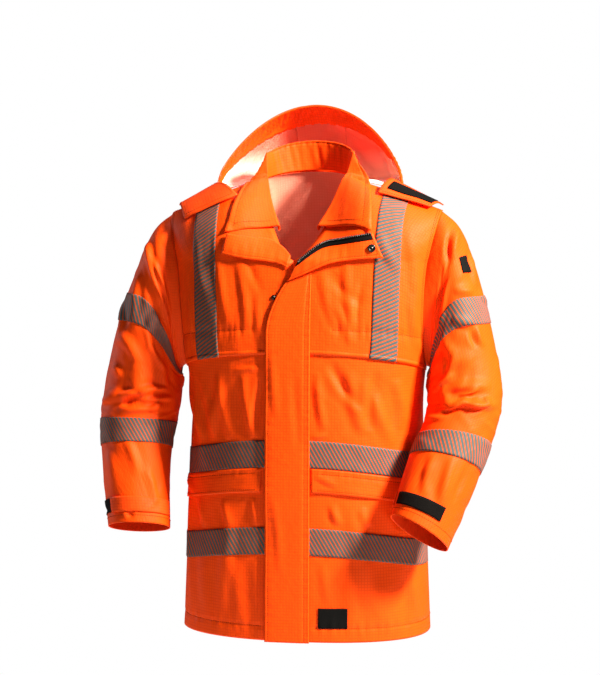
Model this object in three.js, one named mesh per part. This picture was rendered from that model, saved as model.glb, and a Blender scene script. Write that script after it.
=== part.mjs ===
// Hooded hi-vis work jacket, worn and hollow. Millimetres, +Z up, the front towards -Y, the wearer's left towards +X.
// The origin is the middle of the neck's base. Every cloth piece is a thin wall on one of a few shared surfaces.
import * as THREE from "three";

// Cloth: wall thicknesses and the clearance that neighbours keep.
const shellWall = 1.4;
const doubledWall = 2.2;
const tapeWall = 1.0;
const trimWall = 1.2;
const clearance = 0.35;
const seamGap = 1.2;
const yokeOut = seamGap + shellWall;

// Body: heights, neck, shoulders and armholes.
const hemZ = -826;
const chestZ = -130;
const tipX = 258;
const tipZ = -38;
const neckX = 86;
const neckCurve = 0.6;
const neckZ = 22;
const backNeckZ = 44;
const backNeckY = 92;
const armBottomZ = -326;
const armHalfDepth = 70;
const armMidZ = (tipZ + armBottomZ) / 2;
const armHalfHeight = (tipZ - armBottomZ) / 2;
const yokeEdgeZ = -299;
const yokeDroop = 36;
const yokeOverlap = 28;

// Tapes, flaps and label.
const tapeWidth = 50;
const tapeDroop = 31;
const waistTapeZ = -456;
const lowerTapeZ = -616;
const pocketFlapDrop = 44;
const braceTopX = 177;
const braceLowX = 162;
const stormFreeX = -48.5;
const stormSewnX = 34;
const stormCurveZ = -262;
const stormTopFreeX = -12;
const stormTopFreeZ = -168;
const stormTopSewnZ = -147;
const pocketFreeX = 57;
const tuck = 5;
const braceGap = 1.1;

// Hood: rim arch, its seat round the collar, and how far the bag stands back.
const hoodHalfWidth = 181;
const hoodMidX = -6;
const hoodFootY = 8;
const hoodFootZ = 18;
const hoodRise = 156;
const hoodBack = 112;
const hoodBandRows = [0.004, 0.06, 0.13, 0.2];
const hoodSeam = 0.18;
const hoodSeamGap = 0.0025;
const hoodSideStart = 0.2;

const degree = Math.PI / 180;

function table(names, rows) {
  const keys = names.split(" ");
  return rows.map((row) => Object.fromEntries(keys.map((key, i) => [key, row[i]])));
}

// Horizontal sections of the body from hem to chest: half width, depth in front and behind, squareness.
const bodySections = table("z half front back square", [
  [-826, 237, 157, 150, 2.3],
  [-700, 232, 156, 148, 2.25],
  [-560, 227, 154, 144, 2.2],
  [-450, 222, 152, 138, 2.2],
  [-380, 222, 151, 134, 2.3],
  [-326, 227, 149, 132, 2.5],
  [-215, 240, 142, 132, 2.8],
  [-130, 247, 129, 128, 3.0],
]);

// Large folds of the body: from angle and height to angle and height, half width and depth outwards, in mm.
const bodyFolds = table("fromAngle fromZ toAngle toZ width depth", [
  [-62, -330, -50, -520, 24, 7],
  [-35, -350, -44, -455, 20, 5],
  [-70, -520, -58, -800, 30, 6],
  [-28, -560, -33, -790, 24, 5],
  [30, -340, 52, -470, 24, 6],
  [26, -560, 38, -800, 26, 6],
  [58, -500, 66, -800, 30, 7],
  [-120, -380, -112, -800, 34, 8],
  [120, -400, 110, -800, 34, 8],
  [-155, -300, -150, -780, 34, 6],
  [158, -280, 150, -760, 34, 7],
  [180, -420, 176, -800, 30, 6],
]);

// Sleeve rings from armhole to cuff: outer and inner points, middle depth, half depth, how late the ring drops
// towards the underarm, and how far the forearm leans forward, in degrees.
const leftRings = table("ring outX outZ inX inZ midY depth lag lean", [
  [0, 258, -38, 229, -326, 0, 70, 1.0, 0],
  [1, 285, -62, 238, -330, -1, 75, 1.6, 0],
  [2, 305, -98, 241, -334, -2, 77, 2.3, 0],
  [3, 322, -148, 241, -338, -3, 78, 3.4, 0],
  [4, 337, -200, 239, -344, -4, 78, 4.2, 0],
  [5, 350, -252, 236, -352, -7, 77, 3.8, 0],
  [6, 361, -302, 234, -364, -12, 76, 2.5, 2],
  [7, 371, -348, 233, -383, -20, 75, 1.6, 6],
  [8, 374, -385, 233, -405, -32, 73, 1.0, 12],
  [9, 369, -418, 231, -427, -46, 70, 1.0, 18],
  [10, 359, -455, 224, -449, -62, 68, 1.0, 23],
  [11, 344, -503, 211, -482, -85, 66, 1.0, 26],
  [12, 322, -560, 199, -525, -110, 63, 1.0, 27],
  [13, 300, -612, 189, -567, -134, 61, 1.0, 27],
  [14, 286, -646, 183, -593, -149, 59, 1.0, 27],
]);
const rightRings = table("ring outX outZ inX inZ midY depth lag lean", [
  [0, 258, -38, 229, -326, 0, 70, 1.0, 0],
  [1, 286, -62, 239, -330, -1, 75, 1.6, 0],
  [2, 308, -98, 244, -334, -2, 77, 2.3, 0],
  [3, 329, -148, 247, -338, -3, 78, 3.4, 0],
  [4, 351, -200, 248, -344, -4, 78, 4.2, 0],
  [5, 368, -252, 247, -352, -5, 77, 3.8, 0],
  [6, 381, -302, 246, -364, -6, 76, 2.5, 0],
  [7, 391, -350, 246, -383, -8, 75, 1.6, 2],
  [8, 398, -395, 248, -408, -12, 73, 1.0, 5],
  [9, 400, -430, 252, -434, -20, 71, 1.0, 9],
  [10, 398, -468, 257, -465, -30, 69, 1.0, 13],
  [11, 391, -512, 259, -508, -44, 66, 1.0, 16],
  [12, 383, -560, 257, -557, -60, 63, 1.0, 18],
  [13, 373, -608, 252, -604, -76, 61, 1.0, 18],
  [14, 367, -638, 249, -633, -86, 59, 1.0, 18],
]);

// Large folds of the sleeves: from angle (0 outside, 90 front, 180 body side) and ring to angle and ring.
const leftFolds = table("fromAngle fromRing toAngle toRing width depth", [
  [120, 1.2, 150, 4.5, 0.7, 7],
  [60, 6.2, 150, 5.4, 0.5, 6],
  [40, 7.4, 120, 7.0, 0.5, 8],
  [20, 8.6, 130, 8.2, 0.55, 10],
  [100, 9.6, 165, 8.8, 0.5, 7],
  [70, 11.0, 60, 13.0, 0.6, 4],
  [230, 6.4, 300, 7.6, 0.6, 6],
  [240, 9.0, 320, 8.4, 0.6, 6],
  [250, 2.0, 225, 5.0, 0.8, 6],
]);
const rightFolds = table("fromAngle fromRing toAngle toRing width depth", [
  [75, 0.8, 150, 4.6, 0.8, 10],
  [30, 5.2, 110, 6.4, 0.6, 8],
  [95, 6.2, 105, 8.2, 0.7, 9],
  [25, 8.2, 80, 7.6, 0.5, 8],
  [70, 8.8, 140, 8.2, 0.5, 8],
  [50, 10.8, 70, 12.4, 0.6, 4],
  [235, 6.4, 300, 7.4, 0.6, 6],
  [230, 8.8, 310, 8.2, 0.6, 6],
  [250, 2.0, 225, 5.0, 0.8, 6],
]);

// Collar: half of the band from the neck's side (0) to the wing's front end (1), for each side.
// The roll is the fold line, the edge is the turned-out outer edge.
const leftWing = table("along rollX rollY rollZ baseX baseY baseZ edgeX edgeY edgeZ", [
  [0, 83, 25, 70, 80, 4, 24, 85, 27, 71],
  [0.25, 80, 10, 47, 77, -8, 14, 101, 8, 50],
  [0.5, 76, -6, 19, 70, -20, -4, 121, -14, 22],
  [0.75, 66, -42, -25, 58, -42, -34, 136, -78, -24],
  [1, 46, -82, -70, 38, -76, -78, 142, -121, -74],
]);
const rightWing = table("along rollX rollY rollZ baseX baseY baseZ edgeX edgeY edgeZ", [
  [0, 83, 25, 70, 80, 4, 24, 85, 27, 69],
  [0.25, 80, 10, 47, 77, -8, 14, 95, 10, 46],
  [0.5, 76, -6, 19, 70, -20, -4, 109, -14, 16],
  [0.75, 66, -42, -25, 58, -42, -34, 122, -84, -24],
  [1, 46, -82, -70, 38, -76, -78, 132, -123, -76],
]);

// Lapels, from the outer end (0) to the foot of the neck opening (1): top and lower edges on the chest, and lift.
const leftLapel = table("along topX topZ lowX lowZ lift", [
  [0, 144, -79, 164, -124, 9.8],
  [0.35, 86, -90, 106, -128, 10.7],
  [0.65, 48, -99, 64, -136, 12],
  [0.85, 22, -121, 22, -154, 12],
  [1, 8, -134, -8, -166, 10],
]);
const rightLapel = table("along topX topZ lowX lowZ lift", [
  [0, -127, -80, -136, -117, 8],
  [0.35, -80, -86, -90, -126, 8],
  [0.65, -46, -91, -52, -130, 7.1],
  [0.85, -18, -109, -22, -136, 6],
  [1, 2, -131, -4, -147, 5],
]);

// Hood tabs on the shoulders: inner and outer ends at the back edge and the front edge, as distance from the
// middle, angle over the shoulder (0 on the seam, front positive) and lift.
const leftTab = { backInner: [160, -7, 26.8], backOuter: [258, -7, 12], frontInner: [144, 27, 6.8], frontOuter: [240, 25, 11] };
const rightTab = { backInner: [186, -7, 26.8], backOuter: [252, -7, 12], frontInner: [118, 36, 9], frontOuter: [222, 47, 10] };

const clamp = THREE.MathUtils.clamp;
const mix = THREE.MathUtils.lerp;
const smooth = THREE.MathUtils.smoothstep;
const signedPower = (value, power) => Math.sign(value) * Math.abs(value) ** power;
const mixPoint = (a, b, share) => a.map((value, i) => mix(value, b[i], share));
const steps = (from, to, count) => Array.from({ length: count + 1 }, (_, i) => mix(from, to, i / count));

// A smooth curve through one named column of a table, read at a value of its key column.
function read(rows, key, at, name) {
  const last = rows.length - 1;
  let i = 0;
  while (i < last - 1 && rows[i + 1][key] < at) {
    i += 1;
  }
  const slope = (k) => {
    const before = rows[Math.max(k - 1, 0)];
    const after = rows[Math.min(k + 1, last)];
    return (after[name] - before[name]) / (after[key] - before[key]);
  };
  const span = rows[i + 1][key] - rows[i][key];
  const s = clamp((at - rows[i][key]) / span, 0, 1);
  const ease = s * s * (3 - 2 * s);
  const bend = slope(i) * s * (1 - s) ** 2 - slope(i + 1) * s * s * (1 - s);
  return mix(rows[i][name], rows[i + 1][name], ease) + span * bend;
}

// Height of the soft ridges at a place, each a straight crest that fades at its ends.
function foldHeight(folds, a, b, names, aScale) {
  let height = 0;
  for (const fold of folds) {
    const fromA = fold[names[0]] * aScale;
    const alongA = fold[names[2]] * aScale - fromA;
    const alongB = fold[names[3]] - fold[names[1]];
    const length = Math.hypot(alongA, alongB);
    const offA = a * aScale - fromA;
    const offB = b - fold[names[1]];
    const along = (offA * alongA + offB * alongB) / length / length;
    const across = (offA * alongB - offB * alongA) / length / fold.width;
    if (along > 0 && along < 1 && Math.abs(across) < 1) {
      height += fold.depth * Math.sin(Math.PI * along) * (1 + Math.cos(Math.PI * across)) / 2;
    }
  }
  return height;
}

const bodyFoldNames = ["fromAngle", "fromZ", "toAngle", "toZ"];
const sleeveFoldNames = ["fromAngle", "fromRing", "toAngle", "toRing"];
const bodyMmPerDegree = 3.4;
const ringsPerDegree = 0.028;

// Body surface up to the chest. The angle is 0 in front, 90 degrees at the wearer's left side, 180 behind.
function bodyPoint(angle, z) {
  const half = read(bodySections, "z", z, "half");
  const power = 2 / read(bodySections, "z", z, "square");
  const depth = read(bodySections, "z", z, Math.cos(angle) > 0 ? "front" : "back");
  const degrees = THREE.MathUtils.euclideanModulo(angle / degree + 150, 360) - 150;
  const other = degrees > 150 ? degrees - 360 : degrees + 360;
  const rise = foldHeight(bodyFolds, degrees, z, bodyFoldNames, bodyMmPerDegree)
    + foldHeight(bodyFolds, other, z, bodyFoldNames, bodyMmPerDegree);
  const x = half * signedPower(Math.sin(angle), power);
  const y = -depth * signedPower(Math.cos(angle), power);
  return [x + rise * Math.sin(angle), y - rise * Math.cos(angle), z];
}

const armDepth = (z) => armHalfDepth * Math.sqrt(Math.max(0, 1 - ((z - armMidZ) / armHalfHeight) ** 2));

// Angle from the middle (front or back) at which a panel meets the armhole, or the side seam under it.
function edgeAngle(z, side) {
  const share = armDepth(clamp(z, armBottomZ, chestZ)) / read(bodySections, "z", z, side);
  return Math.acos(share ** (read(bodySections, "z", z, "square") / 2));
}

const chestEdge = {
  front: bodyPoint(edgeAngle(chestZ, "front"), chestZ)[0],
  back: bodyPoint(edgeAngle(chestZ, "back"), chestZ)[0],
};

function shoulderSeamZ(x) {
  return neckZ + (tipZ - neckZ) * (clamp((x - neckX) / (tipX - neckX), 0, 1) ** 1.1);
}

// Surface over the chest, front or back, up to the shoulder seam: u is the share of the half width, rise the share
// of the height above the chest.
function upperPoint(u, rise, side) {
  const neckShare = Math.sqrt(Math.max(0, 1 - (u * tipX / neckX) ** 2));
  const isBack = side === "back";
  const topZ = isBack && neckShare > 0 ? neckZ + (backNeckZ - neckZ) * neckShare : shoulderSeamZ(u * tipX);
  const topY = isBack ? backNeckY * neckShare : 0;
  const z = mix(chestZ, topZ, rise);
  const edgeX = mix(chestEdge[side], tipX, clamp((z - chestZ) / (tipZ - chestZ), 0, 1));
  const depth = read(bodySections, "z", chestZ, side);
  const half = read(bodySections, "z", chestZ, "half");
  const square = read(bodySections, "z", chestZ, "square");
  const lowY = depth * (1 - (u * chestEdge[side] / half) ** square) ** (1 / square);
  const round = 1 - Math.sqrt(Math.max(0, 1 - rise * rise));
  const bend = isBack ? round : mix(rise, round, smooth(u, 0.15, 0.55));
  const y = mix(lowY, topY, bend);
  return [u * edgeX, isBack ? y : -y, z];
}

// Height scale shared by the panels: -1 hem, 0 foot of the armhole, 1 chest, 2 shoulder seam.
function heightZ(h) {
  if (h < 0) {
    return mix(armBottomZ, hemZ, -h);
  }
  const chestTurn = Math.acos((armMidZ - chestZ) / armHalfHeight);
  return armMidZ - armHalfHeight * Math.cos(Math.min(h, 1) * chestTurn);
}

// Front and back panels: u runs from the middle (0) to the side seam or armhole (1).
function panelPoint(u, h, side) {
  const across = Math.abs(u);
  if (h <= 1) {
    const z = heightZ(h);
    const lift = side === "front" ? yokeDroop * (1 - across ** 1.5) * (1 - Math.abs(h)) : 0;
    const angle = across * edgeAngle(z, side);
    const point = bodyPoint(side === "front" ? angle : Math.PI - angle, z + lift);
    return [point[0] * Math.sign(u || 1), point[1], point[2]];
  }
  const rise = Math.sin((h - 1) * Math.PI / 2);
  const low = bodyPoint(across * edgeAngle(chestZ, side), chestZ)[0] / chestEdge[side];
  const top = side === "front" ? mix(neckX / tipX, 1, across) : across;
  const opening = side === "front" ? neckX / tipX * (rise ** neckCurve - rise) * (1 - across) ** 2 : 0;
  const point = upperPoint(mix(low, top, rise) + opening, rise, side);
  return [point[0] * Math.sign(u || 1), point[1], point[2]];
}

// Share u at which a panel stands a given distance from the middle.
function shareAt(x, h, side) {
  let low = 0;
  let high = 1;
  for (let i = 0; i < 30; i += 1) {
    const middle = (low + high) / 2;
    if (panelPoint(middle, h, side)[0] < Math.abs(x)) {
      low = middle;
    } else {
      high = middle;
    }
  }
  return (low + high) / 2;
}

// Depth of the chest surface at a place seen from the front.
function chestY(x, z) {
  const distance = Math.abs(x);
  if (z <= chestZ) {
    const half = read(bodySections, "z", z, "half");
    const square = read(bodySections, "z", z, "square");
    const depth = read(bodySections, "z", z, "front");
    return -depth * (1 - Math.min(0.995, distance / half) ** square) ** (1 / square);
  }
  const edgeX = mix(chestEdge.front, tipX, clamp((z - chestZ) / (tipZ - chestZ), 0, 1));
  const u = Math.min(1, distance / edgeX);
  const rise = clamp((z - chestZ) / (shoulderSeamZ(u * tipX) - chestZ), 0, 1);
  return upperPoint(u, rise, "front")[1];
}

// Height of the shoulder's surface over a place seen from above.
function chestTop(x, y) {
  let low = 0;
  let high = 1;
  for (let i = 0; i < 24; i += 1) {
    const rise = (low + high) / 2;
    const point = upperPoint(Math.min(1, x / tipX), rise, "front");
    if (point[1] < y) {
      low = rise;
    } else {
      high = rise;
    }
  }
  return upperPoint(Math.min(1, x / tipX), low, "front")[2];
}

// Over the shoulder: distance from the middle and angle from the seam, the front positive.
function shoulderPoint(x, angle) {
  const u = x / tipX;
  const rise = Math.cos(angle);
  return upperPoint(u, rise, angle > 0 ? "front" : "back");
}

// Armhole outline that the sleeve meets: turn 0 at the shoulder, 180 degrees under the arm, the front in between.
function armholePoint(turn) {
  const isFront = Math.sin(turn) >= 0;
  const side = isFront ? "front" : "back";
  const z = armMidZ + armHalfHeight * Math.cos(turn);
  if (z > chestZ) {
    return upperPoint(1, (z - chestZ) / (tipZ - chestZ), side);
  }
  const angle = edgeAngle(z, side);
  return bodyPoint(isFront ? angle : Math.PI - angle, z);
}

// Sleeve surface: turn 0 outside, 90 degrees in front, 180 at the body, along the rings of its table.
function sleevePoint(rings, folds, turn, ring) {
  const row = (name) => read(rings, "ring", ring, name);
  const reach = (1 + Math.cos(turn)) / 2;
  const drop = (1 - reach) ** row("lag");
  const forward = row("depth") * Math.sin(turn);
  const lean = row("lean") * degree;
  const degrees = THREE.MathUtils.euclideanModulo(turn / degree, 360);
  const rise = foldHeight(folds, degrees, ring, sleeveFoldNames, ringsPerDegree);
  const x = mix(row("inX"), row("outX"), reach) + rise * Math.cos(turn);
  const y = row("midY") - forward * Math.cos(lean) - rise * Math.sin(turn);
  const z = mix(row("outZ"), row("inZ"), drop) + forward * Math.sin(lean);
  const join = 1 - smooth(ring, 0, 2.5);
  if (join > 0) {
    const seam = armholePoint(turn);
    const first = [mix(rings[0].inX, rings[0].outX, reach), -rings[0].depth * Math.sin(turn), seam[2]];
    return [x + (seam[0] - first[0]) * join, y + (seam[1] - first[1]) * join, z];
  }
  return [x, y, z];
}

const mirrored = (at) => (u, v) => {
  const [x, y, z] = at(u, v);
  return [-x, y, z];
};

// Collar cross-sections: a parabola from the neck seam over the roll to the outer edge.
function throughRoll(base, roll, edge, s) {
  const at = 0.42;
  const control = roll.map((value, i) => (value - (1 - at) ** 2 * base[i] - at ** 2 * edge[i]) / (2 * at * (1 - at)));
  return base.map((value, i) => (1 - s) ** 2 * value + 2 * s * (1 - s) * control[i] + s * s * edge[i]);
}

const collarSideShare = 0.5;
const wingLift = 13;

// Along the collar: -1 the right wing's end, 0 the back of the neck, 1 the left wing's end.
function collarPoint(t, s) {
  const along = Math.abs(t);
  const sign = Math.sign(t || 1);
  let base;
  let roll;
  let edge;
  if (along <= collarSideShare) {
    const turn = along / collarSideShare * Math.PI / 2;
    const sine = Math.sin(turn);
    const cosine = Math.cos(turn);
    base = [mix(0, 80, sine), mix(4, backNeckY - 3, cosine), mix(24, backNeckZ + 2, cosine)];
    edge = [mix(0, 84, sine), mix(26, 80, cosine), mix(70, 102, cosine)];
    roll = mixPoint(base, edge, 0.42);
    const open = smooth(along, 0.3, collarSideShare);
    roll = mixPoint(roll, [83 * sine, 25, 70], open * 0.85);
    roll[1] = mix(mix(base[1], edge[1], 0.42), roll[1], open);
  } else {
    const wing = sign > 0 ? leftWing : rightWing;
    const at = (along - collarSideShare) / (1 - collarSideShare);
    const point = (name) => ["X", "Y", "Z"].map((axis) => read(wing, "along", at, name + axis));
    base = point("base");
    roll = point("roll");
    edge = point("edge");
  }
  const [x, y, z] = throughRoll(base, roll, edge, s);
  const lift = wingLift * smooth(s, 0, 0.3);
  const forward = y - chestY(x, z) + lift;
  const upward = chestTop(x, y) + lift - z;
  if (along < collarSideShare + 0.02 || forward <= 0 || upward <= 0) {
    return [x * sign, y, z];
  }
  return forward < upward ? [x * sign, y - forward, z] : [x * sign, y, z + upward];
}

// Hood: t runs round the rim from the right foot (-1) to the left foot (1), v from the rim back and down to the neck.
function hoodPoint(t, v) {
  const turn = t * Math.PI / 2;
  const sine = Math.sin(turn);
  const cosine = Math.max(0, Math.cos(turn));
  const rim = [hoodMidX * cosine + hoodHalfWidth * sine, hoodFootY + hoodBack * cosine ** 1.2,
    hoodFootZ + hoodRise * cosine ** 1.45];
  const seat = [(neckX + 1) * sine, 1 + backNeckY * cosine, neckZ + 1.75 + (backNeckZ - neckZ) * cosine];
  const upper = [rim[0] + 10 * sine, rim[1] + 24 + 92 * cosine, rim[2] - 4 - 22 * cosine];
  const lower = [mix(seat[0], rim[0], 0.55), seat[1] + 22 + 126 * cosine, mix(28, -34, cosine ** 1.3)];
  const w = 1 - v;
  return rim.map((value, i) => w ** 3 * value + 3 * w * w * v * upper[i] + 3 * w * v * v * lower[i] + v ** 3 * seat[i]);
}

// The flat-sided surface that a panel's own columns and rows give, for what is laid on that panel.
function faceted(at, us, vs) {
  const grid = us.map((u) => vs.map((v) => at(u, v)));
  const place = (list, value) => {
    let i = 0;
    while (i < list.length - 2 && list[i + 1] < value) {
      i += 1;
    }
    return [i, clamp((value - list[i]) / (list[i + 1] - list[i]), 0, 1)];
  };
  return (u, v) => {
    const [i, s] = place(us, u);
    const [j, t] = place(vs, v);
    return mixPoint(mixPoint(grid[i][j], grid[i + 1][j], s), mixPoint(grid[i][j + 1], grid[i + 1][j + 1], s), t);
  };
}

const between = (list, from, to) => [from, ...list.filter((value) => value > from + 1e-3 && value < to - 1e-3), to];

// A wall on a surface: outer and inner faces at two distances along its normal, closed round its edges.
function wall(at, us, vs, inner, outer, closed = false) {
  const nudge = 1e-3;
  const clampU = (u) => (closed ? u : clamp(u, us[0], us[us.length - 1]));
  const clampV = (v) => clamp(v, vs[0], vs[vs.length - 1]);
  const spanU = us[us.length - 1] - us[0];
  const spanV = vs[vs.length - 1] - vs[0];
  const cols = closed ? us.length - 1 : us.length;
  const rows = vs.length;
  const positions = [];
  for (const offset of [inner, outer]) {
    for (let j = 0; j < rows; j += 1) {
      for (let i = 0; i < cols; i += 1) {
        const sides = [-1, 1].map((k) => new THREE.Vector3(...at(clampU(us[i] + k * nudge * spanU), vs[j])));
        const ends = [-1, 1].map((k) => new THREE.Vector3(...at(us[i], clampV(vs[j] + k * nudge * spanV))));
        const normal = sides[1].sub(sides[0]).cross(ends[1].sub(ends[0])).normalize();
        const point = at(us[i], vs[j]);
        positions.push(point[0] + normal.x * offset, point[1] + normal.y * offset, point[2] + normal.z * offset);
      }
    }
  }
  const id = (layer, j, i) => layer * rows * cols + j * cols + (closed ? i % cols : i);
  const index = [];
  const quad = (a, b, c, d) => index.push(a, b, c, a, c, d);
  for (let j = 0; j + 1 < rows; j += 1) {
    for (let i = 0; i + 1 < us.length; i += 1) {
      quad(id(1, j, i), id(1, j, i + 1), id(1, j + 1, i + 1), id(1, j + 1, i));
      quad(id(0, j, i), id(0, j + 1, i), id(0, j + 1, i + 1), id(0, j, i + 1));
    }
  }
  for (let i = 0; i + 1 < us.length; i += 1) {
    quad(id(0, 0, i), id(0, 0, i + 1), id(1, 0, i + 1), id(1, 0, i));
    quad(id(1, rows - 1, i), id(1, rows - 1, i + 1), id(0, rows - 1, i + 1), id(0, rows - 1, i));
  }
  if (!closed) {
    const end = us.length - 1;
    for (let j = 0; j + 1 < rows; j += 1) {
      quad(id(0, j, 0), id(1, j, 0), id(1, j + 1, 0), id(0, j + 1, 0));
      quad(id(1, j, end), id(0, j, end), id(0, j + 1, end), id(1, j + 1, end));
    }
  }
  const geometry = new THREE.BufferGeometry();
  geometry.setAttribute("position", new THREE.Float32BufferAttribute(positions, 3));
  geometry.setIndex(index);
  if (signedVolume(positions, index) < 0) {
    for (let i = 0; i < index.length; i += 3) {
      [index[i + 1], index[i + 2]] = [index[i + 2], index[i + 1]];
    }
    geometry.setIndex(index);
  }
  geometry.computeVertexNormals();
  return geometry;
}

function signedVolume(positions, index) {
  let volume = 0;
  const corner = (k) => new THREE.Vector3().fromArray(positions, 3 * index[k]);
  for (let i = 0; i < index.length; i += 3) {
    volume += corner(i).dot(corner(i + 1).cross(corner(i + 2))) / 6;
  }
  return volume;
}

function cloth(color, roughness, metalness = 0) {
  return new THREE.MeshStandardMaterial({ color, roughness, metalness, side: THREE.DoubleSide });
}

const hiVisOrange = cloth(0xff6a1e, 0.75);
const hiVisShade = cloth(0xf2551a, 0.75);
const hoodOrange = cloth(0xff5216, 0.75);
const reflective = cloth(0x8a9896, 0.45, 0.3);
const hookBlack = cloth(0x15110f, 0.9);
const zipBlack = cloth(0x1a1614, 0.6);
const studBlack = cloth(0x1a1818, 0.4, 0.6);
const badgeBlack = cloth(0x1c1a1a, 0.8);

const jacket = new THREE.Group();

function add(name, geometry, material) {
  const mesh = new THREE.Mesh(geometry, material);
  mesh.name = name;
  jacket.add(mesh);
  return mesh;
}

// The surfaces below are oriented so that a positive distance is outside the jacket.
const sides = [
  { name: "left", sign: 1, rings: leftRings, folds: leftFolds, turned: (at) => at },
  { name: "right", sign: -1, rings: rightRings, folds: rightFolds, turned: (at) => (u, v) => mirrored(at)(-u, v) },
];

// Rows of the back panel crowd where the armhole curves and where the shoulder turns over.
const quarter = Math.PI / 2;
const seamShare = 0.999;
const shoulderRows = [1.25, 1.5, 1.72, 1.9, 1.9965];
const backRows = [...steps(-1, -0.05, 9), ...steps(0, 1, 6), ...shoulderRows];
const backHalf = [0.1, 0.2, 0.28, 0.333, 0.39, 0.47, 0.56, 0.66, 0.76, 0.86, 0.94, seamShare];
const backColumns = [...backHalf.map((u) => -u).reverse(), 0, ...backHalf];
const backAt = (u, h) => panelPoint(-u, h, "back");
const backGrid = faceted(backAt, backColumns, backRows);
add("back_panel", wall(backAt, backColumns, backRows, -shellWall, 0), hiVisOrange);

// Height of a band's lower edge at an angle: bands droop at the sides.
const drooped = (topZ, angle, down) => topZ - tapeDroop * Math.sin(angle) ** 2 - down;

// Band laid on the back panel between its side seams.
function backBand(topZ, height, inner, outer) {
  const at = (u, v) => {
    const z = drooped(topZ, quarter * (1 - Math.abs(u)), height * (1 - v));
    return backGrid(u, -(armBottomZ - z) / (armBottomZ - hemZ));
  };
  return wall(at, backColumns, [0, 1], inner, outer);
}

const bandUp = 1.2;
for (const [label, z] of [["waist", waistTapeZ], ["lower", lowerTapeZ]]) {
  add(label + "_tape_back", backBand(z, tapeWidth, bandUp, bandUp + tapeWall), reflective);
}

const frontShares = [0.0015, ...steps(1 / 13, 12 / 13, 11), seamShare];
const frontRows = steps(0, 1, 13);
const frontTop = (u) => Math.min(yokeEdgeZ - yokeDroop * u ** 1.5 + yokeOverlap,
  mix(-160, armBottomZ - 2, smooth(u, 0, 0.999)));
const shareOf = (x, z) => {
  const half = read(bodySections, "z", z, "half");
  return Math.asin(signedPower(Math.abs(x) / half, read(bodySections, "z", z, "square") / 2)) / quarter;
};
const yokeLimit = 0.978;
const yokeShares = [0.0015, ...steps(1 / 12, 11 / 12, 10), yokeLimit];
const yokeRows = [-0.018, ...steps(0, 1, 5), ...shoulderRows];
const braceSpread = steps(-1, 1, 3);

for (const { name, sign, turned } of sides) {
  const ordered = (list) => (sign > 0 ? list : list.map((u) => -u).reverse());

  // Lower front from the hem up to under the yoke.
  const frontAt = (u, v) => bodyPoint(u * quarter, mix(hemZ, frontTop(Math.abs(u)), v));
  add("front_" + name, wall(frontAt, ordered(frontShares), frontRows, -shellWall, 0), hiVisOrange);
  const frontGrid = faceted(frontAt, ordered(frontShares), frontRows);

  // Bands laid on the lower front, from near the storm flap to the side.
  const frontBand = (fromX, toShare, topZ, height, inner, outer, rows) => {
    const fromShare = shareOf(fromX, topZ - height / 2);
    const at = (u, v) => {
      const z = drooped(topZ, quarter * u, height * (1 - v));
      return frontGrid(u, (z - hemZ) / (frontTop(Math.abs(u)) - hemZ));
    };
    return wall(at, ordered(between(frontShares, fromShare, toShare)), steps(0, 1, rows), inner, outer);
  };
  const flapX = sign > 0 ? stormSewnX : stormFreeX;
  for (const [label, z] of [["waist", waistTapeZ], ["lower", lowerTapeZ]]) {
    const geometry = frontBand(Math.abs(flapX) - tuck, seamShare, z, tapeWidth, bandUp, bandUp + tapeWall, 1);
    add(label + "_tape_" + name, geometry, reflective);
  }
  const pocketFrom = sign > 0 ? stormSewnX + 2 : pocketFreeX;
  add("pocket_flap_" + name, frontBand(pocketFrom, 0.93, waistTapeZ - tapeWidth - 1, pocketFlapDrop,
    seamGap, seamGap + shellWall, 2), hiVisOrange);

  // Yoke from its free lower edge to the shoulder seam.
  const yokeAt = (u, h) => panelPoint(u, h, "front");
  add("yoke_" + name, wall(yokeAt, ordered(yokeShares), yokeRows, seamGap, yokeOut), hiVisOrange);

  // Brace tapes, in front to the yoke's free edge and behind to the waist tape.
  const braceHalf = tapeWidth / 2 * 0.9;
  const brace = turned((s, h) => {
    const x = mix(braceLowX, braceTopX, clamp(h / 2, 0, 1)) + s * braceHalf;
    return panelPoint(shareAt(x, h, "front"), h, "front");
  });
  add("brace_tape_front_" + name, wall(brace, braceSpread, [-0.016, ...steps(0.2, 1, 4), 1.25, 1.5, 1.72, 1.9, 1.99],
    yokeOut + braceGap, yokeOut + braceGap + tapeWall), reflective);
  const waistH = -(armBottomZ - drooped(waistTapeZ, quarter / 2, 0)) / (armBottomZ - hemZ);
  const backBrace = turned((s, h) => {
    const x = mix(braceLowX, braceTopX, clamp((h + 0.3) / 2.3, 0, 1)) - s * braceHalf;
    return backGrid(-shareAt(x, h, "back"), h);
  });
  add("brace_tape_back_" + name, wall(backBrace, braceSpread, between(backRows, waistH + 0.016, 1.99),
    braceGap, braceGap + tapeWall), reflective);
}

// A piece given by its place on the chest as seen from the front, lifted off it.
const onChest = (place, lift) => (u, v) => {
  const [x, z] = place(u, v);
  return [x, chestY(x, z) - lift(u, v), z];
};

// Storm flap over the front opening; its free edge curves in towards the neck at the top.
const stormLift = yokeOut + 0.9;
const stormOut = stormLift + doubledWall;
const stormPlace = (u, v) => {
  const topZ = mix(stormTopFreeZ, stormTopSewnZ, u);
  const z = mix(hemZ - 1, topZ, v);
  const curl = clamp((z - stormCurveZ) / (stormTopFreeZ - stormCurveZ), 0, 1) ** 1.8;
  return [mix(mix(stormFreeX, stormTopFreeX, curl), stormSewnX, u), z];
};
const stormRows = [...steps(0, 0.78, 12), 0.84, 0.89, 0.93, 0.97, 1];
add("storm_flap", wall(onChest(stormPlace, () => stormLift), steps(0, 1, 3), stormRows, 0, doubledWall), hiVisOrange);

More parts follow.
